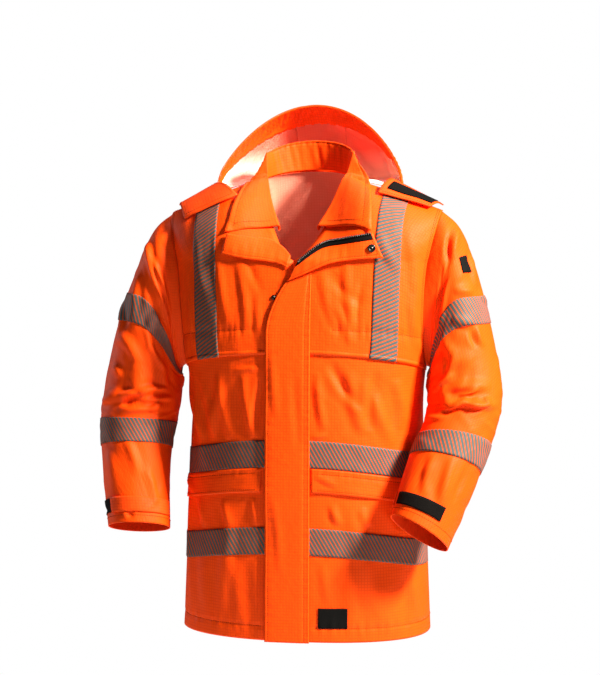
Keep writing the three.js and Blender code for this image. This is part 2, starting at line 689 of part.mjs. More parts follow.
// Lapels, rolled over the edge of the neck opening and lying on the chest; u runs towards the wearer's left.
const lapelAt = (rows, up = 0) => {
  const along = rows[0].topX > 0 ? (u) => 1 - u : (u) => u;
  const value = (u, name) => read(rows, "along", along(u), name);
  const place = (u, v) => [mix(value(u, "lowX"), value(u, "topX"), v), mix(value(u, "lowZ"), value(u, "topZ"), v)];
  return onChest(place, (u) => value(u, "lift") + up);
};
const lapelColumns = steps(0, 1, 10);
const lapelRows = steps(0, 1, 3);
const leftLapelAt = lapelAt(leftLapel);
add("lapel_left", wall(leftLapelAt, lapelColumns, lapelRows, 0, doubledWall), hiVisOrange);
add("lapel_right", wall(lapelAt(rightLapel), steps(0, 0.94, 10), lapelRows, 0, doubledWall), hiVisOrange);

// Zip tape along the top of the left lapel.
const lapelTop = doubledWall + 0.75;
const lapelGrid = faceted(leftLapelAt, lapelColumns, lapelRows);
const zipColumns = between(lapelColumns, 0.04, 0.98);
add("zip_tape_left", wall(lapelGrid, zipColumns, [0.8, 0.99], lapelTop, lapelTop + trimWall), zipBlack);

// Press stud: a low domed disc, stood on a surface point along a direction.
function placeStud(name, at, direction, radius, height) {
  const profile = [[0, 0], [radius, 0], [radius, height * 0.6], [radius * 0.8, height], [0, height]];
  const mesh = add(name, new THREE.LatheGeometry(profile.map(([x, y]) => new THREE.Vector2(x, y)), 16), studBlack);
  mesh.quaternion.setFromUnitVectors(new THREE.Vector3(0, 1, 0), new THREE.Vector3(...direction).normalize());
  mesh.position.set(...at);
}
placeStud("stud_cap", lapelAt(leftLapel, lapelTop + 0.3)(0.93, 0.42), [0.3, -1, 0.1], 7.5, 3);
const postZ = -196;
const postX = stormPlace(0, (postZ - hemZ) / (stormTopFreeZ - hemZ))[0] - 6;
placeStud("stud_post", [postX, chestY(postX, postZ) - yokeOut - clearance, postZ], [-0.05, -1, 0.08], 4.6, 3);

const collarAcross = [0, 0.18, 0.3, 0.42, 0.54, 0.7, 0.86, 1];
add("collar", wall(collarPoint, steps(-1, 1, 30), collarAcross, -doubledWall / 2, doubledWall / 2), hiVisOrange);

// Hood panels, edge band inside the rim, and the two front tabs.
const sideSeam = hoodSeam + hoodSeamGap;
const hoodShares = {
  side_right: [...steps(-1, -hoodSideStart, 8).slice(0, 8), -sideSeam],
  centre: steps(-hoodSeam, hoodSeam, 5),
  side_left: [sideSeam, ...steps(hoodSideStart, 1, 8).slice(1)],
};
const hoodRows = [0, ...hoodBandRows.slice(1), 0.29, 0.4, 0.54, 0.68, 0.8, 0.9, 1];
for (const [part, shares] of Object.entries(hoodShares)) {
  add("hood_" + part, wall(hoodPoint, shares, hoodRows, -shellWall / 2, shellWall / 2), hoodOrange);
}
const bandFar = -shellWall / 2 - bandUp;
const bandShares = [...hoodShares.side_right, ...hoodShares.centre, ...hoodShares.side_left].slice(1, -1);
add("hood_band", wall(hoodPoint, bandShares, hoodBandRows, bandFar - trimWall, bandFar), hiVisShade);

function tabAt({ backInner, backOuter, frontInner, frontOuter }) {
  return (u, v) => {
    const [x, angle, lift] = mixPoint(mixPoint(frontInner, frontOuter, u), mixPoint(backInner, backOuter, u), v);
    const tilt = angle * degree;
    const point = shoulderPoint(x, tilt);
    return [point[0], point[1] - lift * Math.sin(tilt), point[2] + lift * Math.cos(tilt)];
  };
}
for (const { name, turned } of sides) {
  const tab = turned(tabAt(name === "left" ? leftTab : rightTab));
  const [from, to] = name === "left" ? [0, 1] : [-1, 0];
  add("hood_tab_" + name, wall(tab, steps(from, to, 6), steps(0, 1, 4), 0, doubledWall), hoodOrange);
}
const tabGrid = faceted(tabAt(leftTab), steps(0, 1, 6), steps(0, 1, 4));
const hookUp = doubledWall + 0.8;
add("hood_hook_left", wall(tabGrid, between(steps(0, 1, 6), 0.16, 0.92), [0.22, 0.25, 0.5, 0.66], hookUp, hookUp + 1.4),
  hookBlack);

// Sleeves and what is sewn on them: each piece spans turns in degrees and rings along the arm.
const sleeveParts = {
  left: [
    ["sleeve_tape_upper_left", 0, 360, 3.9, 4.87, tapeWall, reflective],
    ["sleeve_tape_fore_left", 0, 360, 10.25, 11.2, tapeWall, reflective],
    ["cuff_hook_left", 52, 146, 12.72, 13.28, 1.6, hookBlack],
    ["cuff_tab_left", 158, 262, 12.66, 13.34, doubledWall, hiVisShade],
    ["sleeve_badge_left", 34, 59, 2.45, 3.05, 1.2, badgeBlack],
  ],
  right: [
    ["sleeve_tape_upper_right", 0, 360, 3.85, 4.85, tapeWall, reflective],
    ["sleeve_tape_fore_right", 0, 360, 9.2, 10.5, tapeWall, reflective],
    ["cuff_hook_right", -22, 48, 12.66, 13.26, 1.6, hookBlack],
    ["cuff_tab_right", 50, 176, 12.62, 13.3, doubledWall, hiVisShade],
  ],
};
const sleeveRows = [0.02, 0.35, 0.75, 1.2, 1.7, 2.3, 3, 3.6, 4.3, 5, 5.6, 6.2, 6.7, 7.2, 7.7, 8.2, 8.7, 9.2, 9.8, 10.5,
  11.3, 12.2, 13.1, 14];
const sleeveTurns = steps(0, 2 * Math.PI, 24);
const armGap = 1.6;
const sleeveUp = 0.95;
for (const { name, sign, rings, folds } of sides) {
  const at = (turn, ring) => {
    const [x, y, z] = sleevePoint(rings, folds, turn * sign, ring);
    return [sign * (x + armGap), y, z];
  };
  add("sleeve_" + name, wall(at, sleeveTurns, sleeveRows, -shellWall, 0, true), hiVisOrange);
  const allTurns = [...sleeveTurns.map((turn) => turn - 2 * Math.PI), ...sleeveTurns.slice(1)];
  const grid = faceted(at, allTurns, sleeveRows);
  for (const [part, from, to, firstRing, lastRing, thickness, material] of sleeveParts[name]) {
    const isRing = to - from === 360;
    const [start, end] = [from * sign, to * sign].sort((a, b) => a - b).map((turn) => turn * degree);
    const us = isRing ? sleeveTurns : between(allTurns, start, end);
    const vs = between(sleeveRows, firstRing, lastRing);
    add(part, wall(grid, us, vs, sleeveUp, sleeveUp + thickness, isRing), material);
  }
}

// Label sewn near the hem of the left front.
const labelUp = 0.8;
const labelPlace = (u, v) => [mix(50, 103, u), mix(-800, -763, v)];
add("hem_label", wall(onChest(labelPlace, () => labelUp), steps(0, 1, 4), steps(0, 1, 2), 0, 1.1), badgeBlack);

export default jacket;
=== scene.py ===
import math
import bpy
import numpy as np
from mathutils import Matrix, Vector


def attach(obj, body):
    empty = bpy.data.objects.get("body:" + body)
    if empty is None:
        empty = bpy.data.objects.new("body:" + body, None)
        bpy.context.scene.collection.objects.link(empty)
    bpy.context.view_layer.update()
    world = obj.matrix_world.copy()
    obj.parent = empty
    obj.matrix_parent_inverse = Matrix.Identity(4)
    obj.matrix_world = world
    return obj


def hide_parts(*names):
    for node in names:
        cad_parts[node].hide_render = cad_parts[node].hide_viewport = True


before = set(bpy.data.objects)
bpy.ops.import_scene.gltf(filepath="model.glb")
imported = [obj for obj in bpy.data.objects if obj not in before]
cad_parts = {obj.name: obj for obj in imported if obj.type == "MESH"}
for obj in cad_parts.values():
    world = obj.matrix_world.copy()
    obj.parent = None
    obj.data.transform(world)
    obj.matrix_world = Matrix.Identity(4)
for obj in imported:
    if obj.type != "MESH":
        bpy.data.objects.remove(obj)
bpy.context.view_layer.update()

# Camera: the jacket is seen from its front, a little from the wearer's left and a little from above.
cameraSet = {
    "eye": (0.5995, -3.1536, -0.1081), "target": (-0.0103, -0.0167, -0.2755), "lens": 90, "sensor": 36
}
cameraData = bpy.data.cameras.new("camera")
cameraData.lens = cameraSet["lens"]
cameraData.sensor_fit = "VERTICAL"
cameraData.sensor_height = cameraSet["sensor"]
camera = bpy.data.objects.new("camera", cameraData)
camera.location = cameraSet["eye"]
camera.rotation_euler = (Vector(cameraSet["target"]) - Vector(cameraSet["eye"])).to_track_quat("-Z",
    "Y").to_euler()
bpy.context.scene.collection.objects.link(camera)
bpy.context.scene.camera = camera
print("camera set")


def linear(hexColour):  # sRGB hex to linear
    channels = [int(hexColour[i:i + 2], 16) / 255 for i in (1, 3, 5)]
    return [c / 12.92 if c <= 0.04045 else ((c + 0.055) / 1.055) ** 2.4 for c in channels] + [1.0]


def addNode(tree, kind, inputs=None, **settings):
    made = tree.nodes.new(kind)
    for name, value in settings.items():
        setattr(made, name, value)
    for name, value in (inputs or {}).items():
        if isinstance(value, bpy.types.NodeSocket):
            tree.links.new(value, made.inputs[name])
        else:
            made.inputs[name].default_value = value
    return made


# Light: pale room, a key from the upper right, a weak fill, a narrow light behind on the left and one above.
lightSet = {
    "room": ("#FFFFFF", 0.08),
    "key": {"at": (2.25, -0.95, 1.4), "size": (0.5, 0.5), "watts": 390, "colour": "#FFF6E6"},
    "fill": {"at": (0.6, -2.9, 0.5), "size": (1.0, 1.0), "watts": 4, "colour": "#FFF2EA"},
    "rim": {"at": (-2.3, 0.7, 0.1), "size": (0.35, 1.6), "watts": 16, "colour": "#FFFFFF"},
    "top": {"at": (0.1, 0.5, 1.9), "size": (1.2, 0.8), "watts": 20, "colour": "#FFFFFF"},
}
world = bpy.data.worlds.new("room")
bpy.context.scene.world = world
world.use_nodes = True
world.node_tree.nodes.clear()
seen = addNode(world.node_tree, "ShaderNodeBackground", {"Color": linear("#FFFFFF"), "Strength": 1.0})
room = addNode(world.node_tree, "ShaderNodeBackground",
    {"Color": linear(lightSet["room"][0]), "Strength": lightSet["room"][1]})
path = addNode(world.node_tree, "ShaderNodeLightPath")
both = addNode(world.node_tree, "ShaderNodeMixShader", {0: path.outputs["Is Camera Ray"],
    1: room.outputs[0], 2: seen.outputs[0]})
addNode(world.node_tree, "ShaderNodeOutputWorld", {"Surface": both.outputs[0]})
for lightName in ("key", "fill", "rim", "top"):
    item = lightSet[lightName]
    data = bpy.data.lights.new("light_" + lightName, "AREA")
    data.shape = "RECTANGLE"
    data.size, data.size_y = item["size"]
    data.energy = item["watts"]
    data.color = linear(item["colour"])[:3]
    lamp = bpy.data.objects.new("light_" + lightName, data)
    lamp.location = item["at"]
    lamp.rotation_euler = (Vector((0, 0, -0.3)) - Vector(item["at"])).to_track_quat("-Z", "Y").to_euler()
    bpy.context.scene.collection.objects.link(lamp)
bpy.context.scene.view_settings.view_transform = "Standard"
bpy.context.scene.view_settings.look = "None"

# Floor where the wearer would stand.
bpy.ops.mesh.primitive_circle_add(vertices=96, radius=2.1, fill_type="NGON", location=(0, 0, -1.5))
floor = bpy.context.object
floor.name = "floor"
floorPaint = bpy.data.materials.new("matt white floor paint")
floorPaint.use_nodes = True
floorPaint.node_tree.nodes["Principled BSDF"].inputs["Base Color"].default_value = linear("#F4F3F1")
floorPaint.node_tree.nodes["Principled BSDF"].inputs["Roughness"].default_value = 0.9
floor.data.materials.append(floorPaint)
print("lights and floor set")


# Materials. Every cloth mesh has a UV map in millimetres, u to the right and v up as seen from outside.
def newMaterial(name):
    material = bpy.data.materials.new(name)
    material.use_nodes = True
    tree = material.node_tree
    tree.nodes.clear()
    uv = addNode(tree, "ShaderNodeUVMap", uv_map="cloth")
    return material, tree, uv.outputs["UV"]


def maths(tree, operation, a, b=None, c=None):
    inputs = {i: value for i, value in enumerate((a, b, c)) if value is not None}
    return addNode(tree, "ShaderNodeMath", inputs, operation=operation).outputs[0]


# 1 on the stripe, 0 between; share is the stripe's part.
def stripeMask(tree, along, pitch, share, soft=0.08):
    phase = maths(tree, "FRACT", maths(tree, "DIVIDE", along, pitch))
    off = maths(tree, "ABSOLUTE", maths(tree, "SUBTRACT", phase, 0.5))
    ranged = addNode(tree, "ShaderNodeMapRange",
        {"Value": off, "From Min": share / 2 - soft, "From Max": share / 2 + soft, "To Min": 1.0,
        "To Max": 0.0})
    return ranged.outputs[0]


def mixColour(tree, factor, a, b):
    made = addNode(tree, "ShaderNodeMix", {0: factor}, data_type="RGBA")
    for index, value in ((6, a), (7, b)):
        if isinstance(value, bpy.types.NodeSocket):
            tree.links.new(value, made.inputs[index])
        else:
            made.inputs[index].default_value = value
    return made.outputs[2]


def noise(tree, uv, size, detail=3.0, rough=0.55):  # size in mm of the largest mottle
    made = addNode(tree, "ShaderNodeTexNoise", {"Vector": uv, "Scale": 1 / size, "Detail": detail,
        "Roughness": rough})
    return made.outputs[0]


def ripstop(name, look):
    # Coated ripstop nylon with a thicker thread each way every 5.5 mm, so the eye sees fine squares.
    material, tree, uv = newMaterial(name)
    parts = addNode(tree, "ShaderNodeSeparateXYZ", {"Vector": uv})
    ribs = maths(tree, "MAXIMUM", stripeMask(tree, parts.outputs[0], look["pitch"], look["rib"], 0.1),
        stripeMask(tree, parts.outputs[1], look["pitch"], look["rib"], 0.1))
    mottle = noise(tree, uv, look["mottle"], 4.0)
    cloth = mixColour(tree, mottle, linear(look["deep"]), linear(look["bright"]))
    ribbed = mixColour(tree, maths(tree, "MULTIPLY", ribs, look["ribShow"]), cloth,
        linear(look["ribColour"]))
    if "whiteBelow" in look:  # low down, where the lining lies double, the painted light through the cloth stops and the lining keeps its white
        place = addNode(tree, "ShaderNodeSeparateXYZ",
            {"Vector": addNode(tree, "ShaderNodeTexCoord").outputs["Object"]})
        low = addNode(tree, "ShaderNodeMapRange",
            {"Value": place.outputs[2], "From Min": look["whiteBelow"] - 0.03,
            "From Max": look["whiteBelow"] + 0.06, "To Min": 1.0, "To Max": 0.0})
        ribbed = mixColour(tree, low.outputs[0], ribbed, linear("#F0E8E2"))
    crinkle = noise(tree, uv, look["crinkle"], 3.0, 0.6)
    height = maths(tree, "ADD", maths(tree, "MULTIPLY", crinkle, look["crinkleMm"]),
        maths(tree, "MULTIPLY", ribs, 0.12))
    bump = addNode(tree, "ShaderNodeBump", {"Height": height, "Distance": 0.001, "Strength": 1.0})
    shader = addNode(tree, "ShaderNodeBsdfPrincipled", {"Base Color": ribbed, "Roughness": look["rough"],
        "IOR": 1.5, "Sheen Weight": look["sheen"], "Normal": bump.outputs[0]})
    shader.inputs["Specular IOR Level"].default_value = look["gloss"]
    # Light that comes through the cloth.
    shader.inputs["Subsurface Weight"].default_value = look.get("glow", 0)
    shader.inputs["Subsurface Radius"].default_value = (1, 0.6, 0.45)
    shader.inputs["Subsurface Scale"].default_value = 0.005
    addNode(tree, "ShaderNodeOutputMaterial", {"Surface": shader.outputs[0]})
    return material


outerLook = {
    "bright": "#FF5006", "deep": "#FA4605", "ribColour": "#CC2C03", "ribShow": 0.4, "pitch": 5.5,
    "rib": 0.18, "mottle": 60, "crinkle": 16, "crinkleMm": 1.0, "rough": 0.55, "sheen": 0.0, "gloss": 0.1
}
hoodLook = {**outerLook, "bright": "#FF4E0C", "deep": "#F84409", "ribColour": "#C42804", "glow": 0.3}
# Inside of the ripstop: its coating is white, and the salmon tones given here are painted orange bounce
# light and shade, not the coating's own colour.
liningBounceLook = {
    **outerLook, "bright": "#F6A08C", "deep": "#EC8066", "ribColour": "#D8604A", "ribShow": 0.25,
    "rough": 0.45, "crinkle": 22, "crinkleMm": 1.1
}
# Hood lining: its coral colour is painted light shining through the orange cloth, added on top of the real
# subsurface glow.
throughLightLook = {
    **liningBounceLook, "bright": "#E07666", "deep": "#D4624E", "ribColour": "#CA5642", "mottle": 90, "glow": 0.9,
    "whiteBelow": 0.03
}
# Inside of the sleeves: orange cloth, made deeper and redder than the outside as painted shade and orange
# bounce light in the sleeve's hollow.
sleeveInsideShadeLook = {**outerLook, "bright": "#F0400E", "deep": "#DE320A"}
orangeRipstop = ripstop("orange coated ripstop nylon", outerLook)
hoodRipstop = ripstop("hood ripstop nylon", hoodLook)
liningWithPaintedBounce = ripstop("white polyurethane-coated inside of the ripstop", liningBounceLook)
hoodLiningPaintedThroughLight = ripstop("coated inside of the hood with the orange showing through", throughLightLook)
sleeveInsideWithPaintedShade = ripstop("uncoated orange inside of the sleeves", sleeveInsideShadeLook)
tabRipstop = ripstop("doubled ripstop nylon", {**outerLook, "bright": "#FC5012", "deep": "#F2440C"})


def reflectiveTape(name, look):
    # Silver retroreflective transfer film, pressed on as slanted bars with the orange cloth between them.
    material, tree, uv = newMaterial(name)
    parts = addNode(tree, "ShaderNodeSeparateXYZ", {"Vector": uv})
    lean = maths(tree, "MULTIPLY", parts.outputs[look["across"]], look["lean"])
    along = maths(tree, "ADD", parts.outputs[1 - look["across"]], lean)
    bars = stripeMask(tree, along, look["pitch"], look["bar"], 0.05)
    wear = noise(tree, uv, 7.0, 4.0, 0.7)
    worn = maths(tree, "MULTIPLY", bars,
        addNode(tree, "ShaderNodeMapRange", {"Value": wear, "From Min": 0.28, "From Max": 0.42,
        "To Min": 0.9, "To Max": 1.0}).outputs[0])
    silver = mixColour(tree, noise(tree, uv, 18.0), linear(look["silverDeep"]), linear(look["silver"]))
    colour = mixColour(tree, worn, linear(look["cloth"]), silver)
    height = maths(tree, "ADD", maths(tree, "MULTIPLY", bars, 0.03),
        maths(tree, "MULTIPLY", noise(tree, uv, 14.0), 0.6))
    bump = addNode(tree, "ShaderNodeBump", {"Height": height, "Distance": 0.001, "Strength": 1.0})
    shader = addNode(tree, "ShaderNodeBsdfPrincipled", {"Base Color": colour, "Roughness": look["rough"],
        "IOR": 1.5, "Normal": bump.outputs[0], "Specular IOR Level": 0.12})
    addNode(tree, "ShaderNodeOutputMaterial", {"Surface": shader.outputs[0]})
    return material


tapeLook = {
    "across": 1, "lean": 0.58, "pitch": 7.4, "bar": 0.7, "silver": "#4A565A", "silverDeep": "#3C4846",
    "cloth": "#B8440E", "rough": 0.6
}
bandTape = reflectiveTape("silver retroreflective bars across", tapeLook)
braceTape = reflectiveTape("silver retroreflective bars rising", {**tapeLook, "across": 0, "lean": -0.5})


def plainCloth(name, colour, rough, size, depth, metal=0.0):
    # One plain dark finish with its own grain: hook tape's bristle, woven label or zip tape.
    material, tree, uv = newMaterial(name)
    grain = noise(tree, uv, size, 4.0, 0.7)
    shade = mixColour(tree, grain, linear(colour[0]), linear(colour[1]))
    bump = addNode(tree, "ShaderNodeBump", {"Height": maths(tree, "MULTIPLY", grain, depth),
        "Distance": 0.001, "Strength": 1.0})
    shader = addNode(tree, "ShaderNodeBsdfPrincipled",
        {"Base Color": shade, "Roughness": rough, "Metallic": metal, "Normal": bump.outputs[0]})
    shader.inputs["Specular IOR Level"].default_value = 0.5 if rough < 0.5 else 0.05
    addNode(tree, "ShaderNodeOutputMaterial", {"Surface": shader.outputs[0]})
    return material


hookTape = plainCloth("black woven hook tape with its bristle", ("#030303", "#151211"), 0.85, 2.2, 1.6)
wovenBlack = plainCloth("black woven polyester label", ("#060606", "#141313"), 0.7, 1.6, 0.4)
zipWeave = plainCloth("black woven polyester zip tape", ("#050404", "#120F0E"), 0.7, 1.8, 0.5)
acetal = plainCloth("black moulded acetal zip teeth", ("#0B0A0A", "#151413"), 0.32, 4.0, 0.05)
enamel = plainCloth("black enamelled brass press stud", ("#0C0B0B", "#1B1918"), 0.25, 6.0, 0.03, 0.4)
# The thread is darkened well below its own orange: painted shade of the dents that the stitches pull into
# the cloth.
threadWithPaintedShade = plainCloth("orange polyester thread", ("#8A2406", "#A63608"), 0.6, 1.2, 0.3)
print("materials made")

# Cloth sizes in millimetres, as in the solid model, whose tapes are 1.0 thick.
shellWall, doubledWall, tapeShown = 1.4, 2.2, 0.9
seamGap = 1.2
yokeOut = seamGap + shellWall
hoodSag = 19
hemZ, chestZ, tipX, tipZ = -826, -130, 258, -38
neckX, neckCurve, neckZ, backNeckZ, backNeckY = 86, 0.6, 22, 44, 92
armBottomZ, armHalfDepth = -326, 70
armMidZ, armHalfHeight = (tipZ + armBottomZ) / 2, (tipZ - armBottomZ) / 2
yokeEdgeZ, yokeDroop, yokeOverlap = -299, 36, 28
tapeWidth, tapeDroop, waistTapeZ, lowerTapeZ, pocketFlapDrop = 50, 31, -456, -616, 44
braceTopX, braceLowX = 177, 162
storm = {"freeX": -48.5, "sewnX": 34, "curveZ": -262, "topFreeX": -12, "topFreeZ": -168,
    "topSewnZ": -147, "lift": yokeOut + 0.9}
hood = {"halfWidth": 181, "midX": -6, "footY": 8, "footZ": 18, "rise": 156, "back": 112, "band": 0.2}
quarter = math.pi / 2


def table(names, rows):
    return {name: np.array(column, float) for name, column in zip(names.split(), zip(*rows))}


bodySections = table("z half front back square", [
    (-826, 237, 157, 150, 2.3), (-700, 232, 156, 148, 2.25), (-560, 227, 154, 144, 2.2),
    (-450, 222, 152, 138, 2.2),
    (-380, 222, 151, 134, 2.3), (-326, 227, 149, 132, 2.5), (-215, 240, 142, 132, 2.8),
    (-130, 247, 129, 128, 3.0)])
bodyFolds = [
    (-62, -330, -50, -520, 24, 7), (-35, -350, -44, -455, 20, 5), (-70, -520, -58, -800, 30, 6),
    (-28, -560, -33, -790, 24, 5),
    (30, -340, 52, -470, 24, 6), (26, -560, 38, -800, 26, 6), (58, -500, 66, -800, 30, 7),
    (-120, -380, -112, -800, 34, 8),
    (120, -400, 110, -800, 34, 8), (-155, -300, -150, -780, 34, 6), (158, -280, 150, -760, 34, 7),
    (180, -420, 176, -800, 30, 6)]
ringNames = "ring outX outZ inX inZ midY depth lag lean"
leftRings = table(ringNames, [
    (0, 258, -38, 229, -326, 0, 70, 1.0, 0), (1, 285, -62, 238, -330, -1, 75, 1.6, 0),
    (2, 305, -98, 241, -334, -2, 77, 2.3, 0),
    (3, 322, -148, 241, -338, -3, 78, 3.4, 0), (4, 337, -200, 239, -344, -4, 78, 4.2, 0),
    (5, 350, -252, 236, -352, -7, 77, 3.8, 0),
    (6, 361, -302, 234, -364, -12, 76, 2.5, 2), (7, 371, -348, 233, -383, -20, 75, 1.6, 6),
    (8, 374, -385, 233, -405, -32, 73, 1.0, 12),
    (9, 369, -418, 231, -427, -46, 70, 1.0, 18), (10, 359, -455, 224, -449, -62, 68, 1.0, 23),
    (11, 344, -503, 211, -482, -85, 66, 1.0, 26), (12, 322, -560, 199, -525, -110, 63, 1.0, 27),
    (13, 300, -612, 189, -567, -134, 61, 1.0, 27), (14, 286, -646, 183, -593, -149, 59, 1.0, 27)])
rightRings = table(ringNames, [
    (0, 258, -38, 229, -326, 0, 70, 1.0, 0), (1, 286, -62, 239, -330, -1, 75, 1.6, 0),
    (2, 308, -98, 244, -334, -2, 77, 2.3, 0),
    (3, 329, -148, 247, -338, -3, 78, 3.4, 0), (4, 351, -200, 248, -344, -4, 78, 4.2, 0),
    (5, 368, -252, 247, -352, -5, 77, 3.8, 0),
    (6, 381, -302, 246, -364, -6, 76, 2.5, 0), (7, 391, -350, 246, -383, -8, 75, 1.6, 2),
    (8, 398, -395, 248, -408, -12, 73, 1.0, 5),
    (9, 400, -430, 252, -434, -20, 71, 1.0, 9), (10, 398, -468, 257, -465, -30, 69, 1.0, 13),
    (11, 391, -512, 259, -508, -44, 66, 1.0, 16), (12, 383, -560, 257, -557, -60, 63, 1.0, 18),
    (13, 373, -608, 252, -604, -76, 61, 1.0, 18), (14, 367, -638, 249, -633, -86, 59, 1.0, 18)])
leftFolds = [(120, 1.2, 150, 4.5, 0.7, 7), (60, 6.2, 150, 5.4, 0.5, 6), (40, 7.4, 120, 7.0, 0.5, 8),
    (20, 8.6, 130, 8.2, 0.55, 10), (100, 9.6, 165, 8.8, 0.5, 7), (70, 11.0, 60, 13.0, 0.6, 4),
    (230, 6.4, 300, 7.6, 0.6, 6), (240, 9.0, 320, 8.4, 0.6, 6), (250, 2.0, 225, 5.0, 0.8, 6)]
rightFolds = [(75, 0.8, 150, 4.6, 0.8, 10), (30, 5.2, 110, 6.4, 0.6, 8), (95, 6.2, 105, 8.2, 0.7, 9),
    (25, 8.2, 80, 7.6, 0.5, 8), (70, 8.8, 140, 8.2, 0.5, 8), (50, 10.8, 70, 12.4, 0.6, 4),
    (235, 6.4, 300, 7.4, 0.6, 6), (230, 8.8, 310, 8.2, 0.6, 6), (250, 2.0, 225, 5.0, 0.8, 6)]
wingNames = "along rollX rollY rollZ baseX baseY baseZ edgeX edgeY edgeZ"
leftWing = table(wingNames, [
    (0, 83, 25, 70, 80, 4, 24, 85, 27, 71), (0.25, 80, 10, 47, 77, -8, 14, 101, 8, 50),
    (0.5, 76, -6, 19, 70, -20, -4, 121, -14, 22),
    (0.75, 66, -42, -25, 58, -42, -34, 136, -78, -24), (1, 46, -82, -70, 38, -76, -78, 142, -121, -74)])
rightWing = table(wingNames, [
    (0, 83, 25, 70, 80, 4, 24, 85, 27, 69), (0.25, 80, 10, 47, 77, -8, 14, 95, 10, 46),
    (0.5, 76, -6, 19, 70, -20, -4, 109, -14, 16),
    (0.75, 66, -42, -25, 58, -42, -34, 122, -84, -24), (1, 46, -82, -70, 38, -76, -78, 132, -123, -76)])
leftLapel = table("along topX topZ lowX lowZ lift", [
    (0, 144, -79, 164, -124, 9.8), (0.35, 86, -90, 106, -128, 10.7), (0.65, 48, -99, 64, -136, 12),
    (0.85, 22, -121, 22, -154, 12), (1, 8, -134, -8, -166, 10)])
rightLapel = table("along topX topZ lowX lowZ lift", [
    (0, -127, -80, -136, -117, 8), (0.35, -80, -86, -90, -126, 8), (0.65, -46, -91, -52, -130, 7.1),
    (0.85, -18, -109, -22, -136, 6), (1, 2, -131, -4, -147, 5)])
leftTab = {"backInner": (160, -7, 26.8), "backOuter": (258, -7, 12), "frontInner": (144, 27, 6.8),
    "frontOuter": (240, 25, 11)}
rightTab = {"backInner": (186, -7, 26.8), "backOuter": (252, -7, 12), "frontInner": (118, 36, 9),
    "frontOuter": (222, 47, 10)}


def mix(a, b, share):
    return a + (b - a) * share


def smooth(x, low, high):
    s = np.clip((x - low) / (high - low), 0, 1)
    return s * s * (3 - 2 * s)


def signedPower(value, power):
    return np.sign(value) * np.abs(value) ** power


def read(rows, key, at, name):  # smooth curve through one column of a table
    xs, ys = rows[key], rows[name]
    last = len(xs) - 1
    at = np.asarray(at, float)
    i = np.clip(np.searchsorted(xs, at) - 1, 0, last - 1)
    before, after = np.maximum(np.arange(last + 1) - 1, 0), np.minimum(np.arange(last + 1) + 1, last)
    slopes = (ys[after] - ys[before]) / (xs[after] - xs[before])
    span = xs[i + 1] - xs[i]
    s = np.clip((at - xs[i]) / span, 0, 1)
    bend = slopes[i] * s * (1 - s) ** 2 - slopes[i + 1] * s * s * (1 - s)
    return mix(ys[i], ys[i + 1], s * s * (3 - 2 * s)) + span * bend


def foldHeight(folds, a, b, aScale):
    height = np.zeros(np.broadcast(a, b).shape)
    for fromA, fromB, toA, toB, width, depth in folds:
        alongA, alongB = (toA - fromA) * aScale, toB - fromB
        length = math.hypot(alongA, alongB)
        offA, offB = (a - fromA) * aScale, b - fromB
        along = (offA * alongA + offB * alongB) / length / length
        across = (offA * alongB - offB * alongA) / length / width
        inside = (along > 0) & (along < 1) & (np.abs(across) < 1)
        height = height + np.where(inside, depth * np.sin(np.pi * along) * (1 + np.cos(np.pi * across)) / 2,
            0)
    return height


def bodyPoint(angle, z):  # angle 0 in front, a quarter turn at the wearer's left side
    half = read(bodySections, "z", z, "half")
    power = 2 / read(bodySections, "z", z, "square")
    depth = np.where(np.cos(angle) > 0, read(bodySections, "z", z, "front"),
        read(bodySections, "z", z, "back"))
    degrees = np.mod(np.degrees(angle) + 150, 360) - 150
    other = np.where(degrees > 150, degrees - 360, degrees + 360)
    rise = foldHeight(bodyFolds, degrees, z, 3.4) + foldHeight(bodyFolds, other, z, 3.4)
    x = half * signedPower(np.sin(angle), power) + rise * np.sin(angle)
    y = -depth * signedPower(np.cos(angle), power) - rise * np.cos(angle)
    return np.stack(np.broadcast_arrays(x, y, z), -1)


def edgeAngle(z, side):
    at = np.clip(z, armBottomZ, chestZ)
    depth = armHalfDepth * np.sqrt(np.maximum(0, 1 - ((at - armMidZ) / armHalfHeight) ** 2))
    return np.arccos((depth / read(bodySections, "z", z, side)) ** (read(bodySections, "z", z,
        "square") / 2))


chestEdge = {side: float(bodyPoint(edgeAngle(np.array(chestZ), side), np.array(float(chestZ)))[0])
    for side in ("front", "back")}


def shoulderSeamZ(x):
    return neckZ + (tipZ - neckZ) * np.clip((x - neckX) / (tipX - neckX), 0, 1) ** 1.1


def upperPoint(u, rise, side):  # over the chest, front or back, up to the shoulder seam
    neckShare = np.sqrt(np.maximum(0, 1 - (u * tipX / neckX) ** 2))
    isBack = side == "back"
    topZ = shoulderSeamZ(u * tipX)
    if isBack:
        topZ = np.where(neckShare > 0, neckZ + (backNeckZ - neckZ) * neckShare, topZ)
    topY = backNeckY * neckShare if isBack else 0.0
    z = mix(chestZ, topZ, rise)
    edgeX = mix(chestEdge[side], tipX, np.clip((z - chestZ) / (tipZ - chestZ), 0, 1))
    depth, half, square = (float(read(bodySections, "z", chestZ, name))
        for name in (side, "half", "square"))
    lowY = depth * np.maximum(0, 1 - (u * chestEdge[side] / half) ** square) ** (1 / square)
    roundShare = 1 - np.sqrt(np.maximum(0, 1 - rise * rise))
    bend = roundShare if isBack else mix(rise, roundShare, smooth(u, 0.15, 0.55))
    y = mix(lowY, topY, bend)
    return np.stack(np.broadcast_arrays(u * edgeX, y if isBack else -y, z), -1)


chestTurn = math.acos((armMidZ - chestZ) / armHalfHeight)


